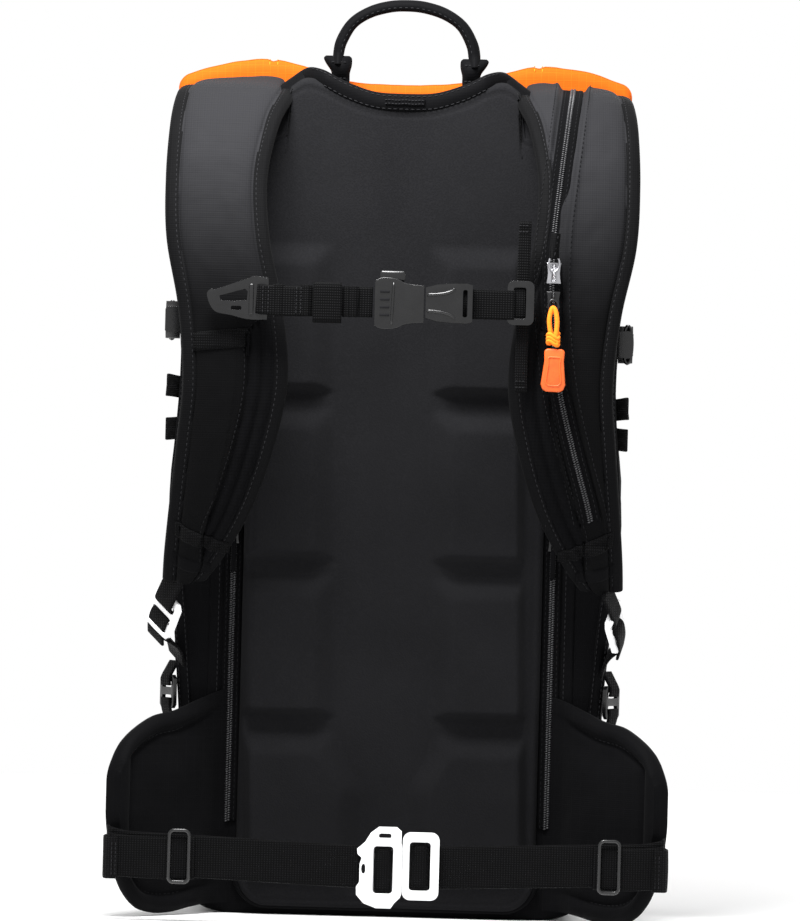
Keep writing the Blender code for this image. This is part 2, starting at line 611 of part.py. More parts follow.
def make_compression():
    """Side compression straps: webbing along each side of the bag with a side-release buckle."""
    heights = {"right": 0.390, "left": 0.381}
    for side, sign in (("right", -1), ("left", 1)):
        z = heights[side]
        x = sign * 0.1448
        ribbon("side_webbing_" + side, "webbing", [(x, -0.0450, z), (x, 0.0600, z)], 0.0180, WEB, (0, 0, 1))
        x += sign * (WEB / 2 + GAP + 0.0050)
        socket = box("side_buckle_socket_" + side, "plastic", (0.0100, 0.0240, 0.0250), (x, -0.0240, z),
                     bevel=0.0020)
        boolean(socket, box("cut_side_" + side, "plastic", (0.0055, 0.0200, 0.0170), (x, -0.0200, z)))
        prong = [(0.0100, 0.0110), (-0.0080, 0.0110), (-0.0090, 0.0070), (-0.0220, 0.0070), (-0.0220, -0.0070),
                 (-0.0090, -0.0070), (-0.0080, -0.0110), (0.0100, -0.0110)]
        plate("side_buckle_prong_" + side, "plastic", [prong, rounded(0.0022, 0.0080, 0.0010, (0.0040, 0), 2)],
              0.0042, (x, -0.0030, z), (90, 0, 90))


clear_scene()
PACK = make_collection("avalanche_airbag_backpack")
CUTTERS = make_collection("cutters")
FINE_STEPS = 2
FINE_STRAP = smooth(STRAP, FINE_STEPS)

make_bag()
make_hood()
make_yoke()
make_handle()
make_back_panel()
make_frame()
make_inflation()
make_shoulder_straps()
make_trigger()
make_back_zips()
make_strap_zip()
make_pull()
make_chest_strap()
make_hip_belt()
make_locks()
make_compression()
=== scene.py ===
"""Looks of the avalanche airbag backpack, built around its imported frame. Metres, harness side faces -Y."""
import math
import random

import bmesh
import bpy
from mathutils import Matrix, Vector, noise


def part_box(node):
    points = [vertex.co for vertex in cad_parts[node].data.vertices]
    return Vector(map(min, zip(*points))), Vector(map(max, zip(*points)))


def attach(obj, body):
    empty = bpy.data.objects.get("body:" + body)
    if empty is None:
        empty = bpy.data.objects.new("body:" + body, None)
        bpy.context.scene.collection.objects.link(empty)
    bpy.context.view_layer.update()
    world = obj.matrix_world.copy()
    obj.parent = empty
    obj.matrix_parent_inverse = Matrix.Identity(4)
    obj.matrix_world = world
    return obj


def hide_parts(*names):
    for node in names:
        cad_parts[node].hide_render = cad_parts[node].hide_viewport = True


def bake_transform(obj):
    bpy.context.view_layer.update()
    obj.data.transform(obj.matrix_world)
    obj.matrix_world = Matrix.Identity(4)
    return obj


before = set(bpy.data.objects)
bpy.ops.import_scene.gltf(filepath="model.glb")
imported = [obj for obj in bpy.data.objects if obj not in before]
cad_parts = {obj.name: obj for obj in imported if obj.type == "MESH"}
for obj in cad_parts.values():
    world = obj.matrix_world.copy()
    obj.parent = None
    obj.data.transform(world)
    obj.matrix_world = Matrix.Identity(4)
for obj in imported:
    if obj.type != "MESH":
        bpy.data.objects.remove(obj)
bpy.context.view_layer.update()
X = Vector((1, 0, 0))
Y = Vector((0, 1, 0))
Z = Vector((0, 0, 1))


# ---- materials ----------------------------------------------------------------------------------
class Shader:
    """A node material with its Principled shader, and short ways to add the nodes that it needs."""

    def __init__(self, name, roughness, metallic=0.0, sheen=0.0, coat=0.0, specular=0.5):
        self.mat = bpy.data.materials.new(name)
        self.mat.use_nodes = True
        self.tree = self.mat.node_tree
        self.out = self.tree.nodes["Principled BSDF"]
        self.out.inputs["Roughness"].default_value = roughness
        self.out.inputs["Metallic"].default_value = metallic
        self.out.inputs["Sheen Weight"].default_value = sheen
        self.out.inputs["Sheen Roughness"].default_value = 0.5
        self.out.inputs["Coat Weight"].default_value = coat
        self.out.inputs["Specular IOR Level"].default_value = specular
        coords = self.tree.nodes.new("ShaderNodeTexCoord")
        self.place = coords.outputs["Object"]
        split = self.tree.nodes.new("ShaderNodeSeparateXYZ")
        self.link(self.place, split.inputs[0])
        self.axes = list(split.outputs)

    def link(self, a, b):
        self.tree.links.new(a, b)

    def math(self, operation, a, b=None, c=None):
        node = self.tree.nodes.new("ShaderNodeMath")
        node.operation = operation
        for socket, value in zip(node.inputs, (a, b, c)):
            if value is None:
                continue
            if isinstance(value, (int, float)):
                socket.default_value = value
            else:
                self.link(value, socket)
        return node.outputs[0]

    def noise(self, scale, detail=3.0, roughness=0.55, stretch=None):
        node = self.tree.nodes.new("ShaderNodeTexNoise")
        node.inputs["Scale"].default_value = scale
        node.inputs["Detail"].default_value = detail
        node.inputs["Roughness"].default_value = roughness
        source = self.place
        if stretch:
            mapping = self.tree.nodes.new("ShaderNodeMapping")
            mapping.inputs["Scale"].default_value = stretch
            self.link(self.place, mapping.inputs["Vector"])
            source = mapping.outputs[0]
        self.link(source, node.inputs["Vector"])
        return node.outputs["Fac"]

    def cells(self, scale):
        node = self.tree.nodes.new("ShaderNodeTexVoronoi")
        node.inputs["Scale"].default_value = scale
        self.link(self.place, node.inputs["Vector"])
        return node.outputs["Distance"]

    def ramp(self, value, stops):
        node = self.tree.nodes.new("ShaderNodeValToRGB")
        ramp = node.color_ramp
        while len(ramp.elements) < len(stops):
            ramp.elements.new(0.5)
        for element, (at, colour) in zip(ramp.elements, stops):
            element.position = at
            element.color = (*colour, 1.0)
        self.link(value, node.inputs["Fac"])
        return node.outputs["Color"]

    def mix(self, factor, a, b):
        node = self.tree.nodes.new("ShaderNodeMix")
        node.data_type = "RGBA"
        sockets = node.inputs
        self.link(factor, sockets["Factor"]) if not isinstance(factor, float) else None
        for socket, value in ((sockets[6], a), (sockets[7], b)):
            if isinstance(value, tuple):
                socket.default_value = (*value, 1.0)
            else:
                self.link(value, socket)
        return node.outputs[2]

    def waves(self, pitch, axes="xyz", power=1.0):
        """Sum of sines along the axes: threads that cross at this pitch, from 0 to 1."""
        total = None
        for axis in axes:
            wave = self.math("SINE", self.math("MULTIPLY", self.axes["xyz".index(axis)],
                2 * math.pi / pitch))
            total = wave if total is None else self.math("ADD", total, wave)
        count = len(axes)
        flat = self.math("MULTIPLY_ADD", total, 0.5 / count, 0.5)
        return self.math("POWER", flat, power) if power != 1.0 else flat

    def grid(self, pitch, width, axes="xz"):
        """Thin raised lines at this pitch, such as ripstop threads: 1 on a line."""
        best = None
        for axis in axes:
            saw = self.math("PINGPONG", self.axes["xyz".index(axis)], pitch / 2)
            line = self.math("LESS_THAN", saw, width / 2)
            best = line if best is None else self.math("MAXIMUM", best, line)
        return best

    def bump(self, height, strength, distance):
        node = self.tree.nodes.new("ShaderNodeBump")
        node.inputs["Strength"].default_value = strength
        node.inputs["Distance"].default_value = distance
        self.link(height, node.inputs["Height"])
        old = self.out.inputs["Normal"].links
        if old:
            self.link(old[0].from_socket, node.inputs["Normal"])
        self.link(node.outputs[0], self.out.inputs["Normal"])
        return self

    def colour(self, socket):
        self.link(socket, self.out.inputs["Base Color"])
        return self

    def rough(self, socket, low, high):
        self.link(self.math("MULTIPLY_ADD", socket, high - low, low), self.out.inputs["Roughness"])
        return self


def scaled(colour, factor):
    return tuple(min(1.0, c * factor) for c in colour)


def fabric(name, colour, pitch=0.0011, roughness=0.85, sheen=0.01, variation=0.22, ripstop=0.0,
            crinkle=0.0004,
           axes="xyz", depth=0.00012):
    """Woven cloth: crossing threads, a broad change of tone, soft crinkles and, if wanted, a ripstop grid."""
    s = Shader(name, roughness, sheen=sheen, specular=0.02)
    broad = s.noise(22.0, 4.0)
    thread = s.waves(pitch, axes)
    tone = s.math("ADD", s.math("MULTIPLY", broad, 0.75), s.math("MULTIPLY", thread, 0.25))
    base = s.ramp(tone, [(0.30, scaled(colour, 1 - variation)), (0.70, scaled(colour, 1 + variation))])
    if ripstop:
        lines = s.grid(ripstop, 0.0005, axes)
        base = s.mix(s.math("MULTIPLY", lines, 0.5), base, scaled(colour, 1.35))
    s.colour(base)
    s.rough(broad, roughness - 0.08, min(1.0, roughness + 0.08))
    s.bump(s.noise(60.0, 5.0, 0.6), 0.5, crinkle)
    s.bump(thread, 0.6, depth)
    if ripstop:
        s.bump(lines, 0.5, 0.00015)
    return s.mat


def webbing_material(name, colour, along, across, pitch=0.0017):
    """Flat woven tape: ribs across its length and fine threads along it."""
    s = Shader(name, 0.66, sheen=0.01, specular=0.05)
    ribs = s.waves(pitch, along)
    threads = s.waves(pitch * 0.85, across)
    knots = s.math("MULTIPLY", ribs, threads)
    tone = s.math("ADD", s.math("MULTIPLY", knots, 0.7), s.math("MULTIPLY", s.noise(90.0, 3.0), 0.3))
    s.colour(s.ramp(tone, [(0.15, scaled(colour, 0.45)), (0.42, colour), (0.75, scaled(colour, 2.1))]))
    s.bump(knots, 1.0, 0.00045)
    return s.mat


def plastic(name, colour, roughness=0.38, grain=0.00005):
    """Moulded plastic with a fine spark-eroded grain and handling marks in its gloss."""
    s = Shader(name, roughness)
    marks = s.noise(120.0, 6.0, 0.65)
    s.colour(s.ramp(marks, [(0.35, scaled(colour, 0.85)), (0.70, scaled(colour, 1.2))]))
    s.rough(marks, roughness - 0.08, roughness + 0.12)
    s.bump(s.noise(2600.0, 2.0), 0.5, grain)
    return s.mat


def metal(name, colour, roughness=0.35, brushed=(1, 1, 1), coat=0.0, metallic=1.0):
    """Anodised or plated metal: fine blasted grain, faint scratches, worn gloss."""
    s = Shader(name, roughness, metallic=metallic, coat=coat)
    wear = s.noise(160.0, 6.0, 0.7)
    s.colour(s.ramp(wear, [(0.30, scaled(colour, 0.90)), (0.65, scaled(colour, 1.04))]))
    s.rough(wear, roughness - 0.06, roughness + 0.10)
    s.bump(s.noise(900.0, 3.0, 0.6, brushed), 0.35, 0.00004)
    return s.mat


def foam_knit(name, colour):
    """Thermoformed foam with a brushed knit face: tiny pores and a soft mottle."""
    s = Shader(name, 0.95, sheen=0.015, specular=0.01)
    mottle = s.noise(14.0, 5.0)
    pores = s.cells(900.0)
    tone = s.math("ADD", s.math("MULTIPLY", mottle, 0.7), s.math("MULTIPLY", pores, 0.45))
    s.colour(s.ramp(tone, [(0.25, scaled(colour, 0.80)), (0.75, scaled(colour, 1.22))]))
    s.bump(pores, 0.55, 0.00022)
    s.bump(s.noise(45.0, 4.0), 0.35, 0.0004)
    return s.mat


def strap_cloth(name, grey, black, high, low):
    """Strap face: black lower down and a lighter grey at the shoulder, which is painted light from above that
    fades with height, with a woven grain.
    """
    s = Shader(name, 0.66, sheen=0.012, specular=0.05)
    height = s.axes[2]
    # painted light: the colour goes from black low on the strap to a lit grey at the top, standing in for the
    # light from above
    top_light_fade = s.math("DIVIDE", s.math("SUBTRACT", height, low), high - low)
    top_light_fade = s.math("ADD", top_light_fade, s.math("MULTIPLY", s.math("SUBTRACT", s.noise(30.0, 3.0), 0.5), 0.12))
    weave = s.waves(0.0014, "xz")
    diagonal = s.waves(0.0021, "xyz")
    lit = s.ramp(top_light_fade, [(0.0, black), (1.0, grey)])
    dark = s.ramp(top_light_fade, [(0.0, scaled(black, 0.72)), (1.0, scaled(grey, 0.78))])
    s.colour(s.mix(s.math("ADD", s.math("MULTIPLY", weave, 0.55), s.math("MULTIPLY", diagonal, 0.35)),
            dark, lit))
    s.rough(s.noise(40.0), 0.66, 0.84)
    s.bump(s.noise(38.0, 4.0), 0.35, 0.0006)
    s.bump(s.math("ADD", weave, diagonal), 0.6, 0.00014)
    return s.mat


CHARCOAL = (0.0032, 0.0032, 0.0036)
BLACK = (0.0030, 0.0030, 0.0034)
ORANGE = (0.400, 0.074, 0.005)
PULL_ORANGE = (0.66, 0.095, 0.007)

M = {
    "body": fabric("body_cloth", CHARCOAL, 0.0013, 0.80, ripstop=0.0055, axes="xz"),
    "body_side": fabric("side_cloth", scaled(BLACK, 2.6), 0.0012, 0.82),
    "hood": fabric("hood_cloth", ORANGE, 0.0011, 0.62, 0.03, 0.08, ripstop=0.0050, crinkle=0.0005),
    "pocket": fabric("pocket_cloth", ORANGE, 0.0011, 0.62, 0.03, 0.08, ripstop=0.0050, crinkle=0.0005,
    axes="xz"),
    "panel": foam_knit("panel_knit", (0.0088, 0.0088, 0.0096)),
    # strap: its grey at the shoulder is painted light from above, fading to black lower down
    "strap": strap_cloth("strap_cloth", (0.0165, 0.0165, 0.0182), (0.0018, 0.0018, 0.0021), 0.500, 0.395),
    "binding": fabric("binding_tape", (0.0030, 0.0030, 0.0034), 0.0010, 0.62, 0.012, depth=0.0002),
    "binding_grey": strap_cloth("binding_grey", (0.0026, 0.0026, 0.0029), (0.0026, 0.0026, 0.0030), 0.50,
    0.36),
    "mesh": fabric("strap_mesh", BLACK, 0.0022, 0.9, depth=0.0004),
    "webbing_x": webbing_material("webbing_belt", (0.0026, 0.0026, 0.0029), "x", "z"),
    "webbing_y": webbing_material("webbing_side", (0.0026, 0.0026, 0.0029), "y", "z"),
    "webbing_z": webbing_material("webbing_upright", (0.0026, 0.0026, 0.0029), "z", "x"),
    "tape": fabric("zip_tape", (0.0026, 0.0026, 0.0029), 0.0009, 0.84, depth=0.0002),
    "coil": plastic("zip_coil", (0.022, 0.022, 0.024), 0.36),
    "plastic": plastic("buckle_plastic", (0.0030, 0.0030, 0.0034), 0.24),
    "grey_plastic": plastic("grey_plastic", (0.060, 0.060, 0.064), 0.40),
    "alloy": metal("white_alloy", (0.88, 0.88, 0.89), 0.38, metallic=0.05, coat=0.10),
    "alloy_plain": metal("plain_alloy", (0.74, 0.75, 0.76), 0.34),
    "steel": metal("bright_steel", (0.62, 0.62, 0.64), 0.22),
    "slider": metal("slider_plating", (0.42, 0.42, 0.44), 0.28),
    "thread": fabric("thread", (0.020, 0.020, 0.0215), 0.0006, 0.8),
    "thread_dark": fabric("thread_dark", (0.011, 0.011, 0.012), 0.0006, 0.8),
    "pull": plastic("pull_rubber", PULL_ORANGE, 0.48),
    "cord": fabric("pull_cord", (1.0, 0.23, 0.02), 0.0009, 0.7, 0.03, 0.15, depth=0.0003),
    "sheet": plastic("frame_sheet", (0.25, 0.26, 0.28), 0.5),
    "airbag": fabric("airbag_cloth", (0.85, 0.20, 0.03), 0.0010, 0.55, crinkle=0.0010),
    "cylinder": metal("cartridge_paint", (0.60, 0.62, 0.64), 0.30),
}


# ---- mesh helpers -------------------------------------------------------------------------------
def finish_piece(bm, name, mat, body="pack", replaces=(), smooth=True, sharp=None):
    """Turn a bmesh into a piece of the object that rides on a CAD body."""
    bmesh.ops.recalc_face_normals(bm, faces=bm.faces)
    mesh = bpy.data.meshes.new(name)
    bm.to_mesh(mesh)
    bm.free()
    if smooth:
        mesh.shade_smooth()
        if sharp:
            mesh.set_sharp_from_angle(angle=math.radians(sharp))
    obj = bpy.data.objects.new(name, mesh)
    bpy.context.scene.collection.objects.link(obj)
    mesh.materials.append(M[mat])
    if body:
        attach(obj, body)
    if replaces:
        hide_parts(*replaces)
    return obj


def apply_modifiers(obj):
    """Bake an object's modifiers into its mesh."""
    graph = bpy.context.evaluated_depsgraph_get()
    graph.update()
    mesh = bpy.data.meshes.new_from_object(obj.evaluated_get(graph), preserve_all_data_layers=True,
                                           depsgraph=graph)
    obj.modifiers.clear()
    obj.data = mesh
    return obj


def bevelled(obj, width, segments=3, angle=35):
    mod = obj.modifiers.new("edges", "BEVEL")
    mod.width = width
    mod.segments = segments
    mod.limit_method = "ANGLE"
    mod.angle_limit = math.radians(angle)
    mod.harden_normals = False
    apply_modifiers(obj)
    obj.data.shade_smooth()
    obj.data.set_sharp_from_angle(angle=math.radians(40))
    return obj


def smooth_path(points, steps):
    """Catmull-Rom curve through tuples of any length."""
    out = []
    last = len(points) - 1
    for i in range(last):
        p0, p1, p2, p3 = points[max(i - 1, 0)], points[i], points[i + 1], points[min(i + 2, last)]
        for k in range(steps):
            t = k / steps
            out.append(tuple(0.5 * (2 * b + (c - a) * t + (2 * a - 5 * b + 4 * c - d) * t * t
                                    + (3 * b - a - 3 * c + d) * t ** 3)
                             for a, b, c, d in zip(p0, p1, p2, p3)))
    out.append(tuple(points[-1]))
    return out


def grid_body(bm, rows, closed_rows=False):
    """Faces over a grid of points; closed_rows joins each row's end to its start. Returns the vertices."""
    verts = [[bm.verts.new(p) for p in row] for row in rows]
    count = len(verts[0])
    span = count if closed_rows else count - 1
    for near, far in zip(verts, verts[1:]):
        for i in range(span):
            j = (i + 1) % count
            bm.faces.new((near[i], near[j], far[j], far[i]))
    return verts


def cap(bm, ring):
    bm.faces.new(ring)


def tube_mesh(bm, path, radius, sides=10, ends=True):
    """A round tube along a path, into bm; radius may be a function of how far along it is."""
    path = [Vector(p) for p in path]
    rows = []
    frame_up = None
    for i, point in enumerate(path):
        tangent = (path[min(i + 1, len(path) - 1)] - path[max(i - 1, 0)]).normalized()
        if frame_up is None:
            frame_up = tangent.orthogonal().normalized()
        frame_up = (frame_up - tangent * frame_up.dot(tangent)).normalized()
        side = tangent.cross(frame_up)
        r = radius(i / (len(path) - 1)) if callable(radius) else radius
        rows.append([point + (frame_up * math.cos(a) + side * math.sin(a)) * r
                     for a in (2 * math.pi * k / sides for k in range(sides))])
    verts = grid_body(bm, rows, True)
    if ends:
        cap(bm, verts[0][::-1])
        cap(bm, verts[-1])
    return verts


def tape(bm, path, across, width, thickness, edge=0.35, crown=0.0):
    """A flat webbing band with rounded edges along a path, into bm. across may be one vector or a list."""
    path = [Vector(p) for p in path]
    half = width / 2
    t = thickness / 2
    profile = [(-half, 0), (-half + t * edge, -t * 0.8), (-half + t * 2, -t),
            (-half * 0.5, -t - crown * 0.75),
               (0, -t - crown), (half * 0.5, -t - crown * 0.75), (half - t * 2, -t),
               (half - t * edge, -t * 0.8),
               (half, 0), (half - t * edge, t * 0.8), (half - t * 2, t), (0, t), (-half + t * 2, t),
               (-half + t * edge, t * 0.8)]
    rows = []
    for i, point in enumerate(path):
        tangent = (path[min(i + 1, len(path) - 1)] - path[max(i - 1, 0)]).normalized()
        side = Vector(across[i] if isinstance(across, list) else across)
        side = (side - tangent * side.dot(tangent)).normalized()
        normal = tangent.cross(side).normalized()
        rows.append([point + side * u + normal * v for u, v in profile])
    verts = grid_body(bm, rows, True)
    cap(bm, verts[0][::-1])
    cap(bm, verts[-1])
    return verts


def rounded(half_w, half_h, radius, centre=(0, 0), steps=6):
    """Outline of a rectangle with round corners, anticlockwise."""
    points = []
    for cx, cy, start in ((1, 1, 0), (-1, 1, 90), (-1, -1, 180), (1, -1, 270)):
        for k in range(steps + 1):
            a = math.radians(start + 90 * k / steps)
            points.append((centre[0] + cx * (half_w - radius) + radius * math.cos(a),
                           centre[1] + cy * (half_h - radius) + radius * math.sin(a)))
    return points


def plate(name, mat, outlines, thickness, matrix, bevel, body, replaces=(), segments=3):
    """A flat plate with holes and rounded edges. Its outline lies in its own XY plane, matrix places it."""
    curve = bpy.data.curves.new(name, "CURVE")
    curve.dimensions = "2D"
    curve.fill_mode = "BOTH"
    curve.extrude = thickness / 2
    for points in outlines:
        spline = curve.splines.new("POLY")
        spline.points.add(len(points) - 1)
        for point, (x, y) in zip(spline.points, points):
            point.co = (x, y, 0, 1)
        spline.use_cyclic_u = True
    guide = bpy.data.objects.new(name + "_guide", curve)
    bpy.context.scene.collection.objects.link(guide)
    graph = bpy.context.evaluated_depsgraph_get()
    mesh = bpy.data.meshes.new_from_object(guide.evaluated_get(graph))
    bpy.data.objects.remove(guide, do_unlink=True)
    bm = bmesh.new()
    bm.from_mesh(mesh)
    bpy.data.meshes.remove(mesh)
    bmesh.ops.remove_doubles(bm, verts=bm.verts, dist=0.00002)
    bmesh.ops.dissolve_limit(bm, angle_limit=0.02, verts=bm.verts, edges=bm.edges)
    bmesh.ops.transform(bm, matrix=matrix, verts=bm.verts)
    obj = finish_piece(bm, name, mat, body, replaces)
    return bevelled(obj, bevel, segments) if bevel else obj


def facing(location, turn_z=0.0, tilt_x=0.0, roll=0.0):
    """Matrix of a plate that faces -Y: turned about Z, tilted about X, rolled in its own plane (degrees)."""
    return (Matrix.Translation(location) @ Matrix.Rotation(math.radians(turn_z), 4, "Z")
            @ Matrix.Rotation(math.radians(90 + tilt_x), 4, "X") @ Matrix.Rotation(math.radians(roll), 4,
            "Z"))


def box_into(bm, size, matrix):
    made = bmesh.ops.create_cube(bm, size=1.0)
    bmesh.ops.scale(bm, vec=size, verts=made["verts"])
    bmesh.ops.transform(bm, matrix=matrix, verts=made["verts"])


def aim(location, along, up):
    """Matrix whose X runs along a direction and whose Z is as near as it can be to up."""
    x = Vector(along).normalized()
    z = Vector(up)
    z = (z - x * z.dot(x)).normalized()
    y = z.cross(x)
    turn = Matrix((x, y, z)).transposed().to_4x4()
    return Matrix.Translation(location) @ turn


def stitches(name, path, normals, mat="thread", body="pack", length=0.0024, gap=0.0012,
             width=0.00055, lift=0.0001):
    """A row of thread stitches that lie on a surface along a path."""
    bm = bmesh.new()
    points = [Vector(p) for p in path]
    walked = 0.0
    due = gap
    for i in range(len(points) - 1):
        step = points[i + 1] - points[i]
        size = step.length
        if size < 1e-7:
            continue
        normal = Vector(normals[i] if isinstance(normals, list) else normals)
        while due <= walked + size:
            at = points[i] + step * ((due - walked) / size) + normal * lift
            stitch(bm, at, step, normal, length, width)
            due += length + gap
        walked += size
    return finish_piece(bm, name, mat, body)


def stitch(bm, at, along, up, length, width):
    """One stitch: a short bead that dips at both ends."""
    turn = aim(at, along, up)
    rows = []
    for u, r in ((-0.5, 0.35), (-0.3, 0.9), (0.0, 1.0), (0.3, 0.9), (0.5, 0.35)):
        drop = -abs(u) * width * 0.9
        rows.append([turn @ Vector((u * length, math.cos(a) * width * 0.5 * r,
                                    math.sin(a) * width * 0.5 * r + drop))
                     for a in (2 * math.pi * k / 6 for k in range(6))])
    verts = grid_body(bm, rows, True)
    cap(bm, verts[0][::-1])
    cap(bm, verts[-1])


def smoothstep(a, b, value):
    t = min(1.0, max(0.0, (value - a) / (b - a)))
    return t * t * (3 - 2 * t)


def crease(point, scale, seed=0.0):
    """Soft folds for cloth, from -1 to 1."""
    return noise.noise(Vector(point) * scale + Vector((seed, seed * 1.7, -seed)))


# ---- collar line --------------------------------------------------------------------------------
COLLAR = smooth_path([(0.0, 0.5350), (0.020, 0.5360), (0.040, 0.5425), (0.055, 0.5500), (0.066, 0.5520),
                      (0.0765, 0.5450)], 8)


def collar_height(x):
    """Height of the collar's middle line across the pack."""
    for (x0, z0), (x1, z1) in zip(COLLAR, COLLAR[1:]):
        if abs(x) <= x1:
            return z0 + (z1 - z0) * (abs(x) - x0) / (x1 - x0)
    return COLLAR[-1][1]


def collar_line(count=96, reach=0.0765):
    """Places along the collar's middle line, from one strap to the other."""
    return [(x, collar_height(x)) for x in (-reach + 2 * reach * k / count for k in range(count + 1))]


# ---- moulded back panel -------------------------------------------------------------------------
PANEL_LOW, PANEL_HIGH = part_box("back_panel")
PAD_RISE = 0.0092
PANEL_FACE = PANEL_LOW.y + PAD_RISE + 0.0002
PAD_ROWS = ((0.3435, 0.441), (0.2330, 0.3335), (0.1300, 0.2240), (0.030, 0.1200))
PAD_INNER = 0.0310
PAD_OUTER = 0.0930
PAD_LEAN = -0.030


def rect_distance(x, z, x0, x1, z0, z1, radius):
    """How far inside a rounded rectangle a point is: positive inside."""
    cx = (x0 + x1) / 2
    cz = (z0 + z1) / 2
    dx = abs(x - cx) - (x1 - x0) / 2 + radius
    dz = abs(z - cz) - (z1 - z0) / 2 + radius
    outside = math.hypot(max(dx, 0), max(dz, 0))
    return radius - outside - min(max(dx, dz), 0)


def soft_least(values, k=7.0):
    """The least of some values, rounded off where two of them meet."""
    return -math.log(sum(math.exp(-k * v) for v in values)) / k


def pad_height(x, z):
    """Rise of the foam pads: a long slope on the inner and upper sides, steep on the outer and lower ones."""
    x -= PAD_LEAN * (z - 0.010)
    rise = 0.0
    for k, (low, high) in enumerate(PAD_ROWS):
        first = k == len(PAD_ROWS) - 1
        cut = 0.016 * smoothstep(high - 0.004, high - 0.042, z) if first else 0.0
        inner = PAD_INNER - cut
        sides = ((abs(x) - inner) / 0.0185, (PAD_OUTER - abs(x)) / 0.0060, (high - z) / 0.0170,
                 (z - low) / 0.0062)
        depth = soft_least(sides)
        rise = max(rise, smoothstep(-0.10, 0.92, depth))
    return rise * PAD_RISE


def make_back_panel():
    """Thermoformed foam sheet: pads, a shallow spine channel and a rolled edge."""
    half = PANEL_HIGH.x
    low = PANEL_LOW.z
    high = PANEL_HIGH.z
    corner = 0.022
    step = 0.0016
    columns = int(2 * half / step)
    lines = int((high - low) / step)
    bm = bmesh.new()
    rows = []
    for j in range(lines + 1):
        z = low + (high - low) * j / lines
        reach = half
        for end in (low, high):
            inset = corner - abs(z - end)
            if inset > 0:
                reach = half - corner + math.sqrt(max(corner ** 2 - inset ** 2, 0.0))
        row = []
        for i in range(columns + 1):
            x = -reach + 2 * reach * i / columns
            edge = min(rect_distance(x, z, -half, half, low, high, corner), 0.012)
            roll = 0.0045 * (1 - math.sqrt(max(0.0, 1 - (1 - min(edge / 0.0045, 1.0)) ** 2)))
            spine = 0.0012 * math.exp(-(x / 0.012) ** 2)
            groove = 0.0009 * math.exp(-((edge - 0.0062) / 0.0009) ** 2)
            wave = 0.0004 * crease((x, 0, z), 16.0)
            y = PANEL_FACE - pad_height(x, z) + roll + spine + groove + wave
            top = max(collar_height(x) - 0.0020, high - 0.012) if abs(x) < 0.076 else high - 0.012
            row.append((x, y, z + (top - high) * smoothstep(high - 0.07, high, z)))
        rows.append(row)
    front = grid_body(bm, rows)
    back_y = PANEL_HIGH.y - 0.0002
    rim = front[0] + [r[-1] for r in front[1:]] + front[-1][-2::-1] + [r[0] for r in front[-2:0:-1]]
    back = [bm.verts.new((v.co.x, back_y, v.co.z)) for v in rim]
    for i in range(len(rim)):
        j = (i + 1) % len(rim)
        bm.faces.new((rim[i], rim[j], back[j], back[i]))
    bm.faces.new(back)
    panel = finish_piece(bm, "panel_moulded_foam", "panel", "pack", ["back_panel"])
    path = [(x * 0.985, PANEL_FACE + 0.0036, low + (z - low) * 0.998 + 0.001)
            for x, z in rounded(half, (high - low) / 2, corner, (0, (low + high) / 2), 10)]
    path = [p for p in path if p[2] < 0.500]
    path = path[-1:] + path[:-1] if path[0][0] > 0 > path[-1][0] else path
    bm = bmesh.new()
    dense = []
    for a, b in zip(path, path[1:]):
        span = (Vector(b) - Vector(a)).length
        count = max(1, int(span / 0.01))
        dense += [Vector(a).lerp(Vector(b), k / count) for k in range(count)]
    tube_mesh(bm, [p + Vector((0.0022 if p.x > 0 else -0.0022, 0, 0)) for p in dense], 0.0017, 10, False)
    finish_piece(bm, "panel_piping", "binding", "pack")
    inner = [(p.x * 0.948, PANEL_FACE + 0.0006, p.z) for p in dense if p.z > low + 0.012]
    stitches("panel_stitching", inner, -Y, "thread_dark", length=0.003, gap=0.0016)


# ---- bag body -----------------------------------------------------------------------------------
BAG_LOW, BAG_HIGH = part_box("pack_shell")
BAG_BACK = BAG_LOW.y
BAG_FRONT = BAG_HIGH.y
BAG_TOP = BAG_HIGH.z
BODY_SIDE = smooth_path([
    (0.100, 0.000), (0.120, 0.005), (0.129, 0.018), (0.132, 0.045), (0.134, 0.100), (0.140, 0.180),
    (0.146, 0.260), (0.141, 0.350), (0.142, 0.420), (0.1455, 0.465), (0.1455, 0.491), (0.140, 0.498)], 6)


def body_loop(y, inset=0.0, shrink=(1.0, 1.0), fold=0.0):
    """The bag's outline at one depth, drawn in by inset, with soft folds of the cloth."""
    middle = BAG_TOP / 2
    scale_x = shrink[0] * (1 - inset / 0.140)
    scale_z = shrink[1] * (1 - inset / middle)
    flat = [(0.035 * k, 0.0) for k in range(3)]
    top = [(0.140 * k / 6, BAG_TOP) for k in range(5, -1, -1)]
    half = flat + BODY_SIDE + top
    out = []
    for sign, side in ((1, half), (-1, half[::-1][1:-1])):
        for w, h in side:
            soft = fold * smoothstep(0.02, 0.08, h) * smoothstep(0.495, 0.45, h)
            ripple = 0.0026 * crease((sign * 0.3, y * 1.3, h), 22.0) + 0.0013 * crease((sign, y * 2, h),
                    60.0)
            seam = (0.0016 * math.exp(-((h - 0.150) / 0.0022) ** 2)
                    + 0.0016 * math.exp(-((h - 0.335) / 0.0022) ** 2))
            push = soft * (ripple - seam + 0.0030 * math.sin(math.pi * smoothstep(BAG_BACK, BAG_FRONT, y)))
            out.append((sign * (w * scale_x + push), y, middle + (h - middle) * scale_z))
    return out


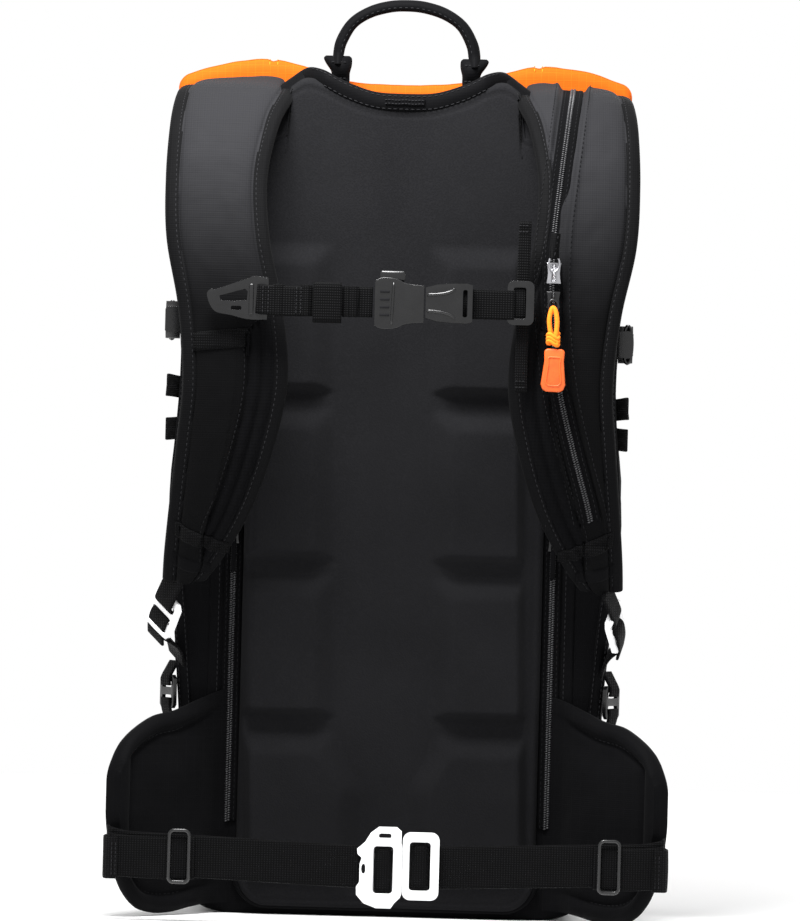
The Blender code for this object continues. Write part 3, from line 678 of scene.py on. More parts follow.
def make_body():
    """Soft fabric body: an open-backed bag with a turned seam where the back panel zips in."""
    depths = [(BAG_BACK, 0.0, (0.64, 0.92), 0), (BAG_BACK, 0.004, (0.70, 0.94), 0),
              (BAG_BACK - 0.0002, 0.007, (1, 1), 0), (BAG_BACK + 0.0006, 0.003, (1, 1), 0),
              (BAG_BACK + 0.0030, 0.0006, (1, 1), 0.3), (BAG_BACK + 0.0060, 0, (1, 1), 1)]
    depths += [(BAG_BACK + 0.006 + 0.134 * k / 26, 0, (1, 1), 1) for k in range(1, 27)]
    depths += [(BAG_FRONT - 0.012, 0.0008, (1, 1), 1), (BAG_FRONT - 0.006, 0.004, (1, 1), 0.6),
               (BAG_FRONT - 0.002, 0.010, (1, 1), 0.3), (BAG_FRONT - 0.0005, 0.020, (1, 1), 0),
               (BAG_FRONT - 0.0005, 0.060, (1, 1), 0), (BAG_FRONT - 0.0005, 0.110, (1, 1), 0)]
    bm = bmesh.new()
    loops = grid_body(bm, [body_loop(*d) for d in depths], True)
    bm.faces.new(loops[-1])
    shell = finish_piece(bm, "body_fabric", "body", "pack", ["pack_shell"])
    shell.data.flip_normals()
    wall = shell.modifiers.new("wall", "SOLIDIFY")
    wall.thickness = 0.0018
    wall.offset = -1
    apply_modifiers(shell)
    shell.data.shade_smooth()
    for sign in (-1, 1):
        name = "left" if sign > 0 else "right"
        edge = [(sign * (w - 0.0016), BAG_BACK - 0.0002 + 0.0004 * math.sin(h * 90), h) for w,
                h in BODY_SIDE if h > 0.02]
        bm = bmesh.new()
        tape(bm, edge, [Vector((sign, 0.55, 0))] * len(edge), 0.0095, 0.0022, crown=0.0004)
        finish_piece(bm, "body_edge_binding_" + name, "binding", "pack")
        for k, shift in enumerate((0.0030, -0.0028)):
            row = [(x - sign * shift, y - 0.0017 - shift * 0.42 * (1 if k == 0 else 1), z) for x, y,
                z in edge]
            stitches("body_edge_stitch_%s_%d" % (name, k), row, -Y, "thread")


def make_front_pocket():
    """Front of the pack: a domed pocket panel, black below and orange above, with its curved zip."""
    low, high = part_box("front_pocket")
    columns = 70
    lines = 120
    bm = bmesh.new()
    rows = []
    half = high.x
    for j in range(lines + 1):
        z = low.z + (high.z - low.z) * j / lines
        row = []
        for i in range(columns + 1):
            x = -half + 2 * half * i / columns
            depth = rect_distance(x, z, -half, half, low.z, high.z, 0.030)
            dome = math.sqrt(max(0.0, 1 - (1 - min(max(depth, 0.0) / 0.030, 1.0)) ** 2))
            fold = 0.0016 * crease((x, 0.2, z), 20.0) + 0.0008 * crease((x, 0.5, z), 60.0)
            dart = 0.0018 * math.exp(-((z - 0.300) / 0.0018) ** 2)
            y = low.y + 0.0006 + (high.y - low.y - 0.0046) * dome + (fold - dart) * dome
            row.append((x, y, z))
        rows.append(row)
    grid_body(bm, rows)
    pocket = finish_piece(bm, "front_pocket_cloth", "body_side", "pack", ["front_pocket"])
    pocket.data.materials.append(M["pocket"])
    for face in pocket.data.polygons:
        face.material_index = 1 if face.center.z > 0.300 else 0
    wall = pocket.modifiers.new("wall", "SOLIDIFY")
    wall.thickness = 0.0012
    wall.offset = 0
    apply_modifiers(pocket)
    pocket.data.shade_smooth()
    path = smooth_path([(-0.085, high.y - 0.0020, 0.330), (-0.080, high.y - 0.0015, 0.385),
                        (-0.045, high.y - 0.0015, 0.412), (0.045, high.y - 0.0015, 0.412),
                        (0.080, high.y - 0.0015, 0.385), (0.085, high.y - 0.0020, 0.330)], 12)
    zip_line("front_pocket_zip", path, [Y] * len(path), "pack")


def zip_line(name, path, normals, body, width=0.0125, replaces=(), coil=0.0021, tape_mat="tape"):
    """A zip: tape, a row of interlocked coil teeth and a stitch line on each side."""
    points = [Vector(p) for p in path]
    bm = bmesh.new()
    across = []
    for i in range(len(points)):
        tangent = (points[min(i + 1, len(points) - 1)] - points[max(i - 1, 0)]).normalized()
        across.append(tangent.cross(Vector(normals[i])).normalized())
    tape(bm, points, across, width, 0.0009)
    finish_piece(bm, name + "_tape", tape_mat, body, replaces)
    bm = bmesh.new()
    pitch = 0.00155
    walked = 0.0
    due = 0.0
    count = 0
    for i in range(len(points) - 1):
        step = points[i + 1] - points[i]
        size = step.length
        if size < 1e-7:
            continue
        while due <= walked + size:
            at = points[i] + step * ((due - walked) / size)
            side = across[i] * (0.0009 if count % 2 else -0.0009)
            stitch(bm, at + side + Vector(normals[i]) * 0.0011, across[i] + step.normalized() * 0.25,
                   normals[i], coil, 0.00115)
            due += pitch / 2
            count += 1
        walked += size
    finish_piece(bm, name + "_coil", "coil", body)
    for sign in (-1, 1):
        row = [p + a * sign * width * 0.36 + Vector(n) * 0.0006 for p, a, n in zip(points, across, normals)]
        stitches("%s_stitch_%s" % (name, "a" if sign < 0 else "b"), row, [Vector(n) for n in normals],
                 "thread_dark", body)


# ---- shoulder straps ----------------------------------------------------------------------------
STRAP = [  # inner edge, outer edge, middle of the pad in Y, height, zip line
    (0.070, 0.149, -0.0500, 0.5380, 0.1115),
    (0.071, 0.149, -0.0600, 0.5400, 0.1110),
    (0.074, 0.151, -0.090, 0.5340, 0.1095),
    (0.082, 0.153, -0.118, 0.5150, 0.1065),
    (0.088, 0.154, -0.140, 0.4800, 0.1020),
    (0.085, 0.152, -0.155, 0.4400, 0.0980),
    (0.075, 0.143, -0.162, 0.3950, 0.0985),
    (0.071, 0.139, -0.163, 0.3500, 0.1040),
    (0.078, 0.142, -0.157, 0.3100, 0.1143),
    (0.091, 0.146, -0.146, 0.2700, 0.1260),
    (0.108, 0.149, -0.133, 0.2380, 0.1320),
    (0.121, 0.150, -0.124, 0.2200, 0.1360),
]
STRAP_STEPS = 18
STRAP_LINE = smooth_path(STRAP, STRAP_STEPS)
BIND = 0.0088
CROWN = 0.0088
EDGE = 0.0030


def strap_station(t):
    """Edges, zip line, middle point's Y and Z, and front normal at a place along the strap, 0 to 1."""
    at = min(max(t, 0.0), 1.0) * (len(STRAP_LINE) - 1)
    low = min(int(at), len(STRAP_LINE) - 2)
    part = at - low
    here = [a + (b - a) * part for a, b in zip(STRAP_LINE[low], STRAP_LINE[low + 1])]
    before = STRAP_LINE[max(low - 2, 0)]
    after = STRAP_LINE[min(low + 3, len(STRAP_LINE) - 1)]
    tangent = Vector((0, after[2] - before[2], after[3] - before[3])).normalized()
    normal = Vector((0, tangent.z, -tangent.y))
    return here[0], here[1], here[4], here[2], here[3], normal


def strap_at_height(z):
    """Place along the strap whose middle is at this height."""
    best = min(range(len(STRAP_LINE) // 8, len(STRAP_LINE)), key=lambda k: abs(STRAP_LINE[k][3] - z))
    return best / (len(STRAP_LINE) - 1)


def band_width(z):
    """Width of the ribbed band along the strap's inner edge, which starts below the chest strap."""
    return BIND + 0.0005 + 0.0165 * smoothstep(0.396, 0.376, z) * smoothstep(0.222, 0.262, z)


def strap_height(x, inner, outer, z, zip_x=None):
    """Front surface above the strap's middle plane, for one X across it."""
    d_in = x - inner
    d_out = outer - x
    edge = min(d_in, d_out)
    round_edge = EDGE * math.sqrt(max(0.0, 1 - (1 - min(edge / 0.0032, 1.0)) ** 2)) + 0.0006
    band = band_width(z)
    if d_in < BIND or d_out < BIND:
        bulge = 0.0009 * math.sin(math.pi * min(edge / BIND, 1.0))
        h = round_edge + bulge + 0.0012 * smoothstep(0.003, BIND, edge)
        groove = 0.0006 * math.exp(-((edge - BIND + 0.0018) / 0.0005) ** 2)
        return h - groove
    start = band if d_in < d_out else BIND
    depth = edge - start
    base = EDGE + 0.0018
    if depth < 0:
        ridges = 0.0030 * abs(math.sin(math.pi * (d_in - BIND) / 0.0083)) - 0.0006
        return base + ridges * smoothstep(0.0, 0.004, band - BIND)
    width = max((outer - BIND - inner - band) / 2, 0.004)
    rise = math.sqrt(max(0.0, 1 - (1 - min(depth / min(0.017, width), 1.0)) ** 2.2))
    h = base - 0.0008 + (CROWN - base + 0.0008) * rise
    groove = 0.0012 * math.exp(-(depth / 0.0008) ** 2)
    if zip_x is not None:
        gap = abs(x - zip_x)
        h -= 0.0034 * smoothstep(0.0105, 0.0070, gap) - 0.0010 * math.exp(-((gap - 0.0105) / 0.0018) ** 2)
    return h - groove


def strap_front(side, t, x, lift=0.0):
    """Point on the front of a strap and its normal; x is measured from the pack's middle."""
    inner, outer, zip_x, y, z, normal = strap_station(t)
    h = strap_height(min(max(x, inner), outer), inner, outer, z, zip_x if side > 0 and z > 0.250 else None)
    lean = 0.0070 * smoothstep(0.16, 0.02, t) * (outer - x) / (outer - inner)
    return Vector((side * x, y, z + lean)) + normal * (h + lift), normal


def make_strap(side):
    """Padded shoulder strap: bound edges, crowned face, ribbed inner band and a mesh back."""
    name = "left" if side > 0 else "right"
    across = 76
    stations = 190
    bm = bmesh.new()
    rows = []
    marks = []
    for j in range(stations + 1):
        t = j / stations
        inner, outer, zip_x, y, z, normal = strap_station(t)
        row = []
        for i in range(across + 1):
            x = inner + (outer - inner) * (0.5 - 0.5 * math.cos(math.pi * i / across) * 0.25
                                           + (i / across - 0.5) * 0.75)
            point, _ = strap_front(side, t, x)
            mid = smoothstep(BIND, 0.022, min(x - inner, outer - x))
            fold = 0.0006 * crease((x, y, z), 45.0, side) + 0.0004 * crease((x, y, z), 110.0, side)
            row.append(point + normal * fold * mid)
        for i in range(across, -1, -2):
            x = inner + (outer - inner) * i / across
            edge = min(x - inner, outer - x)
            back = 0.0080 * math.sqrt(max(0.0, 1 - (1 - min(edge / 0.012, 1.0)) ** 2)) - 0.0004
            lean = 0.0070 * smoothstep(0.16, 0.02, t) * (outer - x) / (outer - inner)
            row.append(Vector((side * x, y, z + lean)) - normal * back)
        rows.append(row)
        marks.append((inner, outer, z))
    verts = grid_body(bm, rows, True)
    cap(bm, verts[0][::-1])
    cap(bm, verts[-1])
    strap = finish_piece(bm, "strap_pad_" + name, "strap", "pack",
            ["shoulder_strap_" + name])
    strap.data.materials.append(M["binding_grey"])
    strap.data.materials.append(M["mesh"])
    width = across + 1 + len(range(across, -1, -2))
    for face in strap.data.polygons:
        j = min(face.vertices) // width
        i = min(v % width for v in face.vertices)
        inner, outer, z = marks[min(j, stations)]
        x = abs(face.center.x)
        if i > across or max(v % width for v in face.vertices) > across + 1:
            face.material_index = 2
        elif x - inner < BIND or outer - x < BIND:
            face.material_index = 1
        elif x - inner < band_width(z) and z < 0.39:
            face.material_index = 2
    return strap


def strap_row(side, offset_from, offset, t0, t1, count=220, lift=0.0002):
    """Points and normals along a strap at a distance from one of its edges or from its zip."""
    points = []
    normals = []
    for k in range(count + 1):
        t = t0 + (t1 - t0) * k / count
        inner, outer, zip_x, _, z, _ = strap_station(t)
        start = {"inner": inner, "outer": outer, "zip": zip_x, "band": inner + band_width(z)}[offset_from]
        point, normal = strap_front(side, t, start + offset, lift)
        points.append(point)
        normals.append(normal)
    return points, normals


def strap_band(name, side, z, height, mat, tilt=0.0, inner_in=0.004, outer_in=0.004, lift=0.0006,
            replaces=()):
    """A band of elastic or webbing sewn across a strap's face."""
    t = strap_at_height(z)
    inner, outer, _, _, _, _ = strap_station(t)
    rows = []
    count = 40
    lines = 8
    for j in range(lines + 1):
        row = []
        for i in range(count + 1):
            x = inner + inner_in + (outer - inner - inner_in - outer_in) * i / count
            shift = (j / lines - 0.5) * height + tilt * (i / count - 0.5)
            where = strap_at_height(z) - shift / 0.40
            edge = min(j, lines - j, i, count - i)
            point, normal = strap_front(side, where, x, lift + (0.0007 if edge else -0.0006))
            row.append(point)
        rows.append(row)
    bm = bmesh.new()
    grid_body(bm, rows)
    return finish_piece(bm, name, mat, "pack", replaces)


def make_strap_details():
    for side, name in ((-1, "right"), (1, "left")):
        make_strap(side)
        for edge, sign, colour in (("inner", 1, "thread"), ("outer", -1, "thread")):
            points, normals = strap_row(side, edge, sign * (BIND - 0.0018), 0.02, 0.985)
            stitches("strap_stitch_%s_%s" % (name, edge), points, normals, colour)
        points, normals = strap_row(side, "band", 0.0022, 0.56, 0.95)
        stitches("strap_band_stitch_" + name, points, normals, "thread_dark")
        strap_band("strap_keeper_low_" + name, side, 0.247, 0.011, "webbing_z",
                0.016 * side * side,
                   0.004, 0.006, 0.0012)
        strap_band("strap_patch_" + name, side, 0.232, 0.014, "binding", 0.010, 0.006,
                0.006, 0.0004)
    strap_band("strap_elastic_right", -1, 0.3740, 0.0095, "webbing_z", -0.003, 0.024, 0.008,
                0.0014)
    strap_band("strap_elastic_end", -1, 0.3730, 0.0115, "binding", 0.0, 0.0245, 0.042,
            0.0022)


def make_strap_zip():
    """Zip of the trigger's pocket on the wearer's left strap, with its stitched welts."""
    points, normals = strap_row(1, "zip", 0.0, 0.10, 0.83, 260, 0.0006)
    zip_line("strap_zip", points, normals, "pack", 0.0130, ["strap_zip"])
    for sign in (-1, 1):
        row, facing_out = strap_row(1, "zip", sign * 0.0112, 0.08, 0.84, 220, 0.0003)
        stitches("strap_zip_welt_" + ("a" if sign < 0 else "b"), row, facing_out, "thread_dark")


# ---- hood, yoke, collar and haul handle ---------------------------------------------------------
HOOD_LOW, HOOD_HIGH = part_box("airbag_hood")
HOOD_PROFILE = smooth_path([(0.0, 0.5500), (0.040, 0.5530), (0.066, 0.5605), (0.085, 0.5650),
        (0.105, 0.5645),
                            (0.128, 0.5600), (0.1510, 0.5520)], 10)
HOOD_ROWS = [(-0.0470, -0.004, 0.985), (-0.0450, -0.001, 0.995), (-0.0400, 0.0, 1.0), (0.0, 0.0, 1.0),
        (0.045, -0.005, 1.0),
             (0.072, -0.014, 0.99), (0.086, -0.030, 0.96)]


def profile_height(x):
    """Top of the hood across the pack's width."""
    x = abs(x)
    for (x0, z0), (x1, z1) in zip(HOOD_PROFILE, HOOD_PROFILE[1:]):
        if x <= x1:
            return z0 + (z1 - z0) * (x - x0) / (x1 - x0)
    return HOOD_PROFILE[-1][1]


def make_hood():
    """Orange airbag cover: a crowned top that rolls down at its sides and front, with seams and folds."""
    bm = bmesh.new()
    rows = []
    half = HOOD_HIGH.x + 0.0020
    base = HOOD_LOW.z + 0.0004
    depth_rows = [(y, drop, wide, 0.0) for y, drop, wide in smooth_path(HOOD_ROWS, 12)]
    depth_rows += [(0.0868 - 0.0004 * k, -0.030, 0.955 - 0.002 * k, k / 5) for k in range(1, 6)]
    for y, drop, wide, level in depth_rows:
        crown = []
        reach = half * wide
        for k in range(97):
            u = -1 + 2 * k / 96
            x = reach * math.sin(u * math.pi / 2 * 0.96) / math.sin(math.pi / 2 * 0.96)
            lip = 0.0060 * (1 - math.sqrt(max(0.0, 1 - max(0.0, (abs(x) - reach + 0.006) / 0.006) ** 2)))
            fold = 0.0014 * crease((x, y, 0.55), 26.0) + 0.0007 * crease((x, y, 0.9), 70.0)
            seam = 0.0014 * math.exp(-((abs(x) - 0.088) / 0.0016) ** 2)
            height = profile_height(x) + drop - lip + fold - seam - 0.0012
            crown.append((x, y, height + (base - height) * level))
        rise = min(0.038, (crown[0][2] - base) * 0.97)
        left = [(-reach - 0.0004 * math.sin(k * 0.4), y, base + rise * k / 8) for k in range(8)]
        right = [(-x, y, z) for x, y, z in reversed(left)]
        rows.append(left + crown + right)
    rear = [[(x, y - 0.0006, base + (z - base) * v) for x, y, z in rows[0]] for v in (0.0, 0.5, 0.93)]
    verts = grid_body(bm, rear + rows)
    loop = [r[0] for r in verts] + verts[-1][1:] + [r[-1] for r in verts[-2::-1]] + verts[0][-2:0:-1]
    inner = [bm.verts.new((v.co.x * 0.95, v.co.y * 0.97, v.co.z)) for v in loop]
    for i in range(len(loop)):
        j = (i + 1) % len(loop)
        bm.faces.new((loop[i], loop[j], inner[j], inner[i]))
    hood = finish_piece(bm, "hood_cloth", "hood", "pack", ["airbag_hood"])
    wall = hood.modifiers.new("wall", "SOLIDIFY")
    wall.thickness = 0.0008
    wall.offset = -1
    apply_modifiers(hood)
    hood.data.shade_smooth()
    for sign in (-1, 1):
        path = [(sign * 0.088, y, profile_height(0.088) + drop - 0.0008) for y, drop, _,
            _ in depth_rows if y < 0.08]
        for shift in (-0.0026, 0.0026):
            row = [(x + shift, y, z - 0.0001) for x, y, z in path]
            stitches("hood_stitch_%d_%d" % (sign, shift > 0), row, Z, "cord",
                    length=0.0028)
    edge = []
    for k in range(61):
        a = math.pi * k / 60
        x = math.cos(a)
        y = math.sin(a)
        edge.append((half * 0.985 * math.copysign(abs(x) ** 0.35, x), -0.040 + 0.126 * abs(y) ** 0.35,
                base + 0.0040))
    bm = bmesh.new()
    tube_mesh(bm, edge, 0.0022, 10)
    finish_piece(bm, "hood_hem", "binding", "pack")
    return hood


def make_yoke():
    """Padded yoke below the straps and the bound collar that dips between them, with its sewn bar."""
    bm = bmesh.new()
    rows = []
    line = collar_line(80, 0.0740)
    for x, z in [(-0.138, 0.530), (-0.110, 0.530)] + line + [(0.110, 0.530), (0.138, 0.530)]:
        row = []
        top = z + 0.0055 + 0.0008 * crease((x, 0.2, 0.5), 40.0) if abs(x) < 0.1 else 0.5264
        for k in range(16):
            a = 2 * math.pi * k / 16
            flat = (abs(math.cos(a)) ** 0.6) * math.copysign(1, math.cos(a))
            tall = (abs(math.sin(a)) ** 0.6) * math.copysign(1, math.sin(a))
            row.append((x, -0.0650 + flat * 0.0138, (top + 0.4995) / 2 + tall * (top - 0.4995) / 2))
        rows.append(row)
    verts = grid_body(bm, rows, True)
    cap(bm, verts[0][::-1])
    cap(bm, verts[-1])
    yoke = finish_piece(bm, "yoke_pad", "binding", "pack", ["yoke_base"])
    bm = bmesh.new()
    rows = []
    for i, (x, z) in enumerate(collar_line()):
        end = smoothstep(0.050, 0.076, abs(x))
        row = []
        for k in range(14):
            a = 2 * math.pi * k / 14
            flat = (abs(math.cos(a)) ** 0.7) * math.copysign(1, math.cos(a))
            tall = (abs(math.sin(a)) ** 0.8) * math.copysign(1, math.sin(a))
            fold = 0.0005 * crease((x, a, z), 30.0)
            row.append((x, -0.0855 + 0.0200 * end - flat * (0.0050 + fold),
                    z + tall * (0.0062 - 0.0012 * end)))
        rows.append(row)
    verts = grid_body(bm, rows, True)
    cap(bm, verts[0][::-1])
    cap(bm, verts[-1])
    finish_piece(bm, "collar_binding", "binding", "pack")
    for sign in (-1, 1):
        line = [(x, -0.0899 + 0.0200 * smoothstep(0.050, 0.076, abs(x)), z + sign * 0.0042)
                for x, z in collar_line(120, 0.062)]
        stitches("collar_stitch_%d" % sign, line, -Y, "thread", length=0.0026)
    bm = bmesh.new()
    tack = [(-0.013 + 0.026 * k / 12, -0.0908, 0.5354 + 0.0002 * math.sin(k * 1.3)) for k in range(13)]
    tape(bm, tack, Z, 0.0046, 0.0014, crown=0.0006)
    finish_piece(bm, "collar_tack", "binding", "pack")
    for row in (-1, 1):
        tacks = [(x, y - 0.0012, z + row * 0.0012) for x, y, z in tack]
        stitches("collar_tack_stitch_%d" % row, tacks, -Y, "thread", length=0.0018, gap=0.0004)


def make_handle():
    """Haul handle: flat tabs at the ends and a folded, stitched fabric grip that swings on the yoke."""
    foot = 0.5565
    arch = smooth_path([(-0.0452, -0.064, 0.0040), (-0.0448, -0.064, 0.0110), (-0.0428, -0.064, 0.0200),
                        (-0.0360, -0.064, 0.0315), (-0.0250, -0.064, 0.0390), (-0.0120, -0.064, 0.0430),
                        (0.0, -0.064, 0.0440), (0.0120, -0.064, 0.0430), (0.0250, -0.064, 0.0390),
                        (0.0360, -0.064, 0.0315), (0.0428, -0.064, 0.0200), (0.0448, -0.064, 0.0110),
                        (0.0452, -0.064, 0.0040)], 8)
    path = [Vector((x, y, foot + z)) for x, y, z in arch]
    bm = bmesh.new()
    rows = []
    count = len(path)
    for i, point in enumerate(path):
        tangent = (path[min(i + 1, count - 1)] - path[max(i - 1, 0)]).normalized()
        side = Y
        out = tangent.cross(side).normalized()
        near_end = smoothstep(0.10, 0.0, min(i, count - 1 - i) / count)
        deep = 0.0048 + 0.0036 * near_end
        tall = 0.0041 + 0.0004 * crease(point, 60.0) - 0.0010 * near_end
        row = []
        for k in range(18):
            a = 2 * math.pi * k / 18
            seam = 0.0006 * math.exp(-((a - math.pi * 1.5) / 0.25) ** 2)
            row.append(point + side * math.cos(a) * deep + out * math.sin(a) * (tall - seam))
        rows.append(row)
    verts = grid_body(bm, rows, True)
    cap(bm, verts[0][::-1])
    cap(bm, verts[-1])
    finish_piece(bm, "handle_grip", "binding", "haul_handle", ["haul_handle"])
    line = []
    for i, point in enumerate(path):
        tangent = (path[min(i + 1, count - 1)] - path[max(i - 1, 0)]).normalized()
        out = tangent.cross(Y).normalized()
        line.append(point - Y * 0.0044 - out * 0.0014)
    stitches("handle_stitch", line, -Y, "thread", "haul_handle", length=0.0026)
    for sign in (-1, 1):
        name = "left" if sign > 0 else "right"
        bm = bmesh.new()
        rows = []
        for k in range(25):
            v = k / 24
            z = 0.5440 + 0.0225 * v
            wide = 0.0082 - 0.0022 * math.exp(-((v - 0.45) / 0.22) ** 2) + 0.0012 * smoothstep(0.55, 0.95,
                    v)
            thick = 0.0026 + 0.0034 * math.sin(math.pi * min(1.0, max(0.0, (v - 0.35) / 0.62))) ** 0.8
            x = sign * (0.0462 - 0.0030 * smoothstep(0.0, 0.45, v) + 0.0022 * smoothstep(0.5, 1.0, v))
            round_top = math.sqrt(max(0.0, 1 - max(0.0, (v - 0.90) / 0.105) ** 2))
            rows.append([(x + math.cos(a) * wide * (0.75 + 0.25 * round_top),
                          -0.0642 + math.sin(a) * thick * max(round_top, 0.2), z)
                         for a in (2 * math.pi * i / 20 for i in range(20))])
        verts = grid_body(bm, rows, True)
        cap(bm, verts[0][::-1])
        cap(bm, verts[-1])
        finish_piece(bm, "handle_tab_" + name, "binding", "pack", ["handle_tab_" + name])
        for row, z in enumerate((0.5490, 0.5515, 0.5620)):
            line = [(sign * 0.0440 - 0.0050 + 0.010 * k / 16, (-0.0664, -0.0672, -0.0696)[row], z)
                    for k in range(17)]
            stitches("handle_tab_stitch_%s_%d" % (name, row), line, -Y, "thread",
                    length=0.0020,
                     gap=0.0006)


# ---- zip sliders, pulls and the trigger grip ----------------------------------------------------
def slider_body(name, location, width, height, depth, body, turn=0.0, tilt=0.0, mat="slider", replaces=(),
                    roll=0.0):
    """Zip slider: waisted body and a raised bridge."""
    half = width / 2
    outline = []
    for v in (-0.5, -0.25, 0.0, 0.25, 0.5):
        outline.append((half * (1.0 - 0.35 * math.cos(v * math.pi) * 0.5), v * height))
    outline = outline + [(-x, y) for x, y in reversed(outline)]
    place_at = facing(location, turn, tilt, roll)
    body_obj = plate(name, mat, [outline], depth * 0.5, place_at, 0.0004, body, replaces)
    bm = bmesh.new()
    arch = [place_at @ Vector((0, v * height, depth * (0.20 + 0.55 * math.cos(v * math.pi))))
            for v in (-0.42, -0.32, -0.2, 0.0, 0.2, 0.32, 0.42)]
    across = place_at.to_3x3() @ Vector((1, 0, 0))
    tape(bm, smooth_path([tuple(p) for p in arch], 4), across, width * 0.34, 0.0011)
    bridge = finish_piece(bm, name + "_bridge", mat, body)
    return body_obj, bridge


def pull_tape(name, points, width, thickness, mat, body, replaces=()):
    bm = bmesh.new()
    tape(bm, smooth_path(points, 6), X, width, thickness, crown=0.0003)
    return finish_piece(bm, name, mat, body, replaces)


def make_zip_sliders():
    for sign, name in ((-1, "right"), (1, "left")):
        body = "back_zip_slider_" + name
        at = Vector((sign * 0.105, -0.0848, 0.248))
        slider_body("back_slider_" + name, at, 0.0072, 0.0105, 0.0030, body, mat="plastic",
                    replaces=["back_zip_slider_" + name])
        pull_tape("back_slider_cord_" + name,
                [(at.x, at.y - 0.0012, at.z - 0.002), (at.x, at.y - 0.0016, at.z - 0.010),
                                               (at.x, at.y - 0.0014, at.z - 0.024)], 0.0032, 0.0011,
                  "binding", body)
        path = [(sign * 0.105, -0.0828, 0.060 + 0.202 * k / 100) for k in range(101)]
        zip_line("back_zip_" + name, path, [-Y] * 101, "pack", 0.0115, ["back_zip_" + name],
                0.0024)
        flap = [(sign * 0.1162, -0.0826, 0.048 + 0.225 * k / 60) for k in range(61)]
        bm = bmesh.new()
        tape(bm, flap, X, 0.0075, 0.0014)
        finish_piece(bm, "back_zip_flap_" + name, "binding", "pack")
        row = [(x - sign * 0.0022, y - 0.0008, z) for x, y, z in flap]
        stitches("back_zip_flap_stitch_" + name, row, -Y, "thread")


def make_strap_sliders():
    """Upper slider with its ring and stitched fabric pull, and the lower slider with its eye."""
    upper = Vector((0.0985, -0.1733, 0.4230))
    slider_body("strap_slider_upper", upper, 0.0094, 0.0135, 0.0040, "strap_zip_upper", 0, -6,
                replaces=["strap_zip_slider_upper"])
    bm = bmesh.new()
    ring = [upper + Vector((0.0034 * math.sin(a), -0.0022 - 0.0006 * math.cos(a),
            0.0062 - 0.0052 * math.cos(a)))
            for a in (2 * math.pi * k / 28 for k in range(29))]
    tube_mesh(bm, ring, 0.0007, 8, False)
    finish_piece(bm, "strap_pull_ring", "slider", "strap_zip_upper_pull")
    pull_tape("strap_pull_upper", [(0.0985, -0.1758, 0.4325), (0.0984, -0.1768, 0.4380),
            (0.0988, -0.1764, 0.4440),
                                   (0.0992, -0.1757, 0.4485)], 0.0062, 0.0022, "binding_grey",
              "strap_zip_upper_pull", ["strap_zip_pull_upper"])
    line = [(0.0986 + 0.0002 * k, -0.1782 + 0.00008 * k, 0.4340 + 0.0013 * k) for k in range(11)]
    stitches("strap_pull_stitch", line, -Y, "thread", "strap_zip_upper_pull")
    lower = Vector((0.0985, -0.1758, 0.4058))
    slider_body("strap_slider_lower", lower, 0.0090, 0.0105, 0.0036, "strap_zip_lower", 0, 0, "plastic",
                ["strap_zip_slider_lower"])
    bm = bmesh.new()
    eye = [lower + Vector((0.0032 * math.sin(a), -0.0026, -0.0040 + 0.0040 * math.cos(a)))
           for a in (2 * math.pi * k / 24 for k in range(25))]
    tube_mesh(bm, eye, 0.0008, 8, False)
    finish_piece(bm, "strap_lower_eye", "plastic", "strap_zip_lower")


def make_trigger_pull():
    """Orange cord loop with its knot and the moulded, recessed grip."""
    body = "strap_zip_lower_pull"
    bm = bmesh.new()
    loop = smooth_path([(0.0998, -0.1816, 0.3768), (0.0975, -0.1818, 0.3830), (0.0962, -0.1812, 0.3920),
                        (0.0972, -0.1802, 0.3985), (0.0986, -0.1797, 0.4005), (0.1002, -0.1806, 0.3980),
                        (0.1012, -0.1816, 0.3915), (0.1006, -0.1822, 0.3830), (0.0992, -0.1816, 0.3768)], 8)
    tube_mesh(bm, loop, 0.00155, 12)
    finish_piece(bm, "pull_loop_cord", "cord", body, ["pull_loop"])
    bm = bmesh.new()
    knot = []
    for k in range(73):
        a = 2 * math.pi * k / 24
        knot.append((0.0989 + 0.0034 * math.cos(a), -0.1817 + 0.0020 * math.sin(a), 0.3838 - 0.0064 * k / 72
                     + 0.0012 * math.sin(a * 2)))
    tube_mesh(bm, knot, 0.0013, 10)
    finish_piece(bm, "pull_knot", "cord", body)
    bm = bmesh.new()
    tails = smooth_path([(0.0990, -0.1820, 0.3820), (0.1004, -0.1832, 0.3800), (0.1016, -0.1834, 0.3765)],
            6)
    tube_mesh(bm, tails, 0.0012, 10)
    finish_piece(bm, "pull_cord_tail", "cord", body)
    centre = Vector((0.0998, -0.1802, 0.3605))
    outline = []
    for x, y in ((-0.0050, 0.0137), (0.0050, 0.0137), (0.0066, 0.0122), (0.0062, 0.0060), (0.0079, -0.0092),
                 (0.0066, -0.0128), (0.0042, -0.0139), (-0.0042, -0.0139), (-0.0066, -0.0128),
                 (-0.0079, -0.0092),
                 (-0.0062, 0.0060), (-0.0066, 0.0122)):
        outline.append((x, y))
    at = facing(centre, 0, 0, -1.5)
    plate("pull_grip", "pull", [outline[::-1]], 0.0058, at, 0.0011, body, ["pull_tab"], 4)
    bm = bmesh.new()
    inset = [(x * 0.60, y * 0.66 - 0.0008) for x, y in outline]
    ring = [at @ Vector((x, y, 0.0029)) for x, y in smooth_path(inset + [inset[0]], 3)]
    tube_mesh(bm, ring, 0.0006, 8, False)
    finish_piece(bm, "pull_grip_rim", "pull", body)


# ---- chest strap --------------------------------------------------------------------------------
def band(name, points, width, thickness, mat, body, across=Z, slot="webbing", replaces=(), crown=0.0,
            steps=8):
    bm = bmesh.new()
    tape(bm, smooth_path(points, steps), across, width, thickness, crown=crown)
    return finish_piece(bm, name, mat, body, replaces)


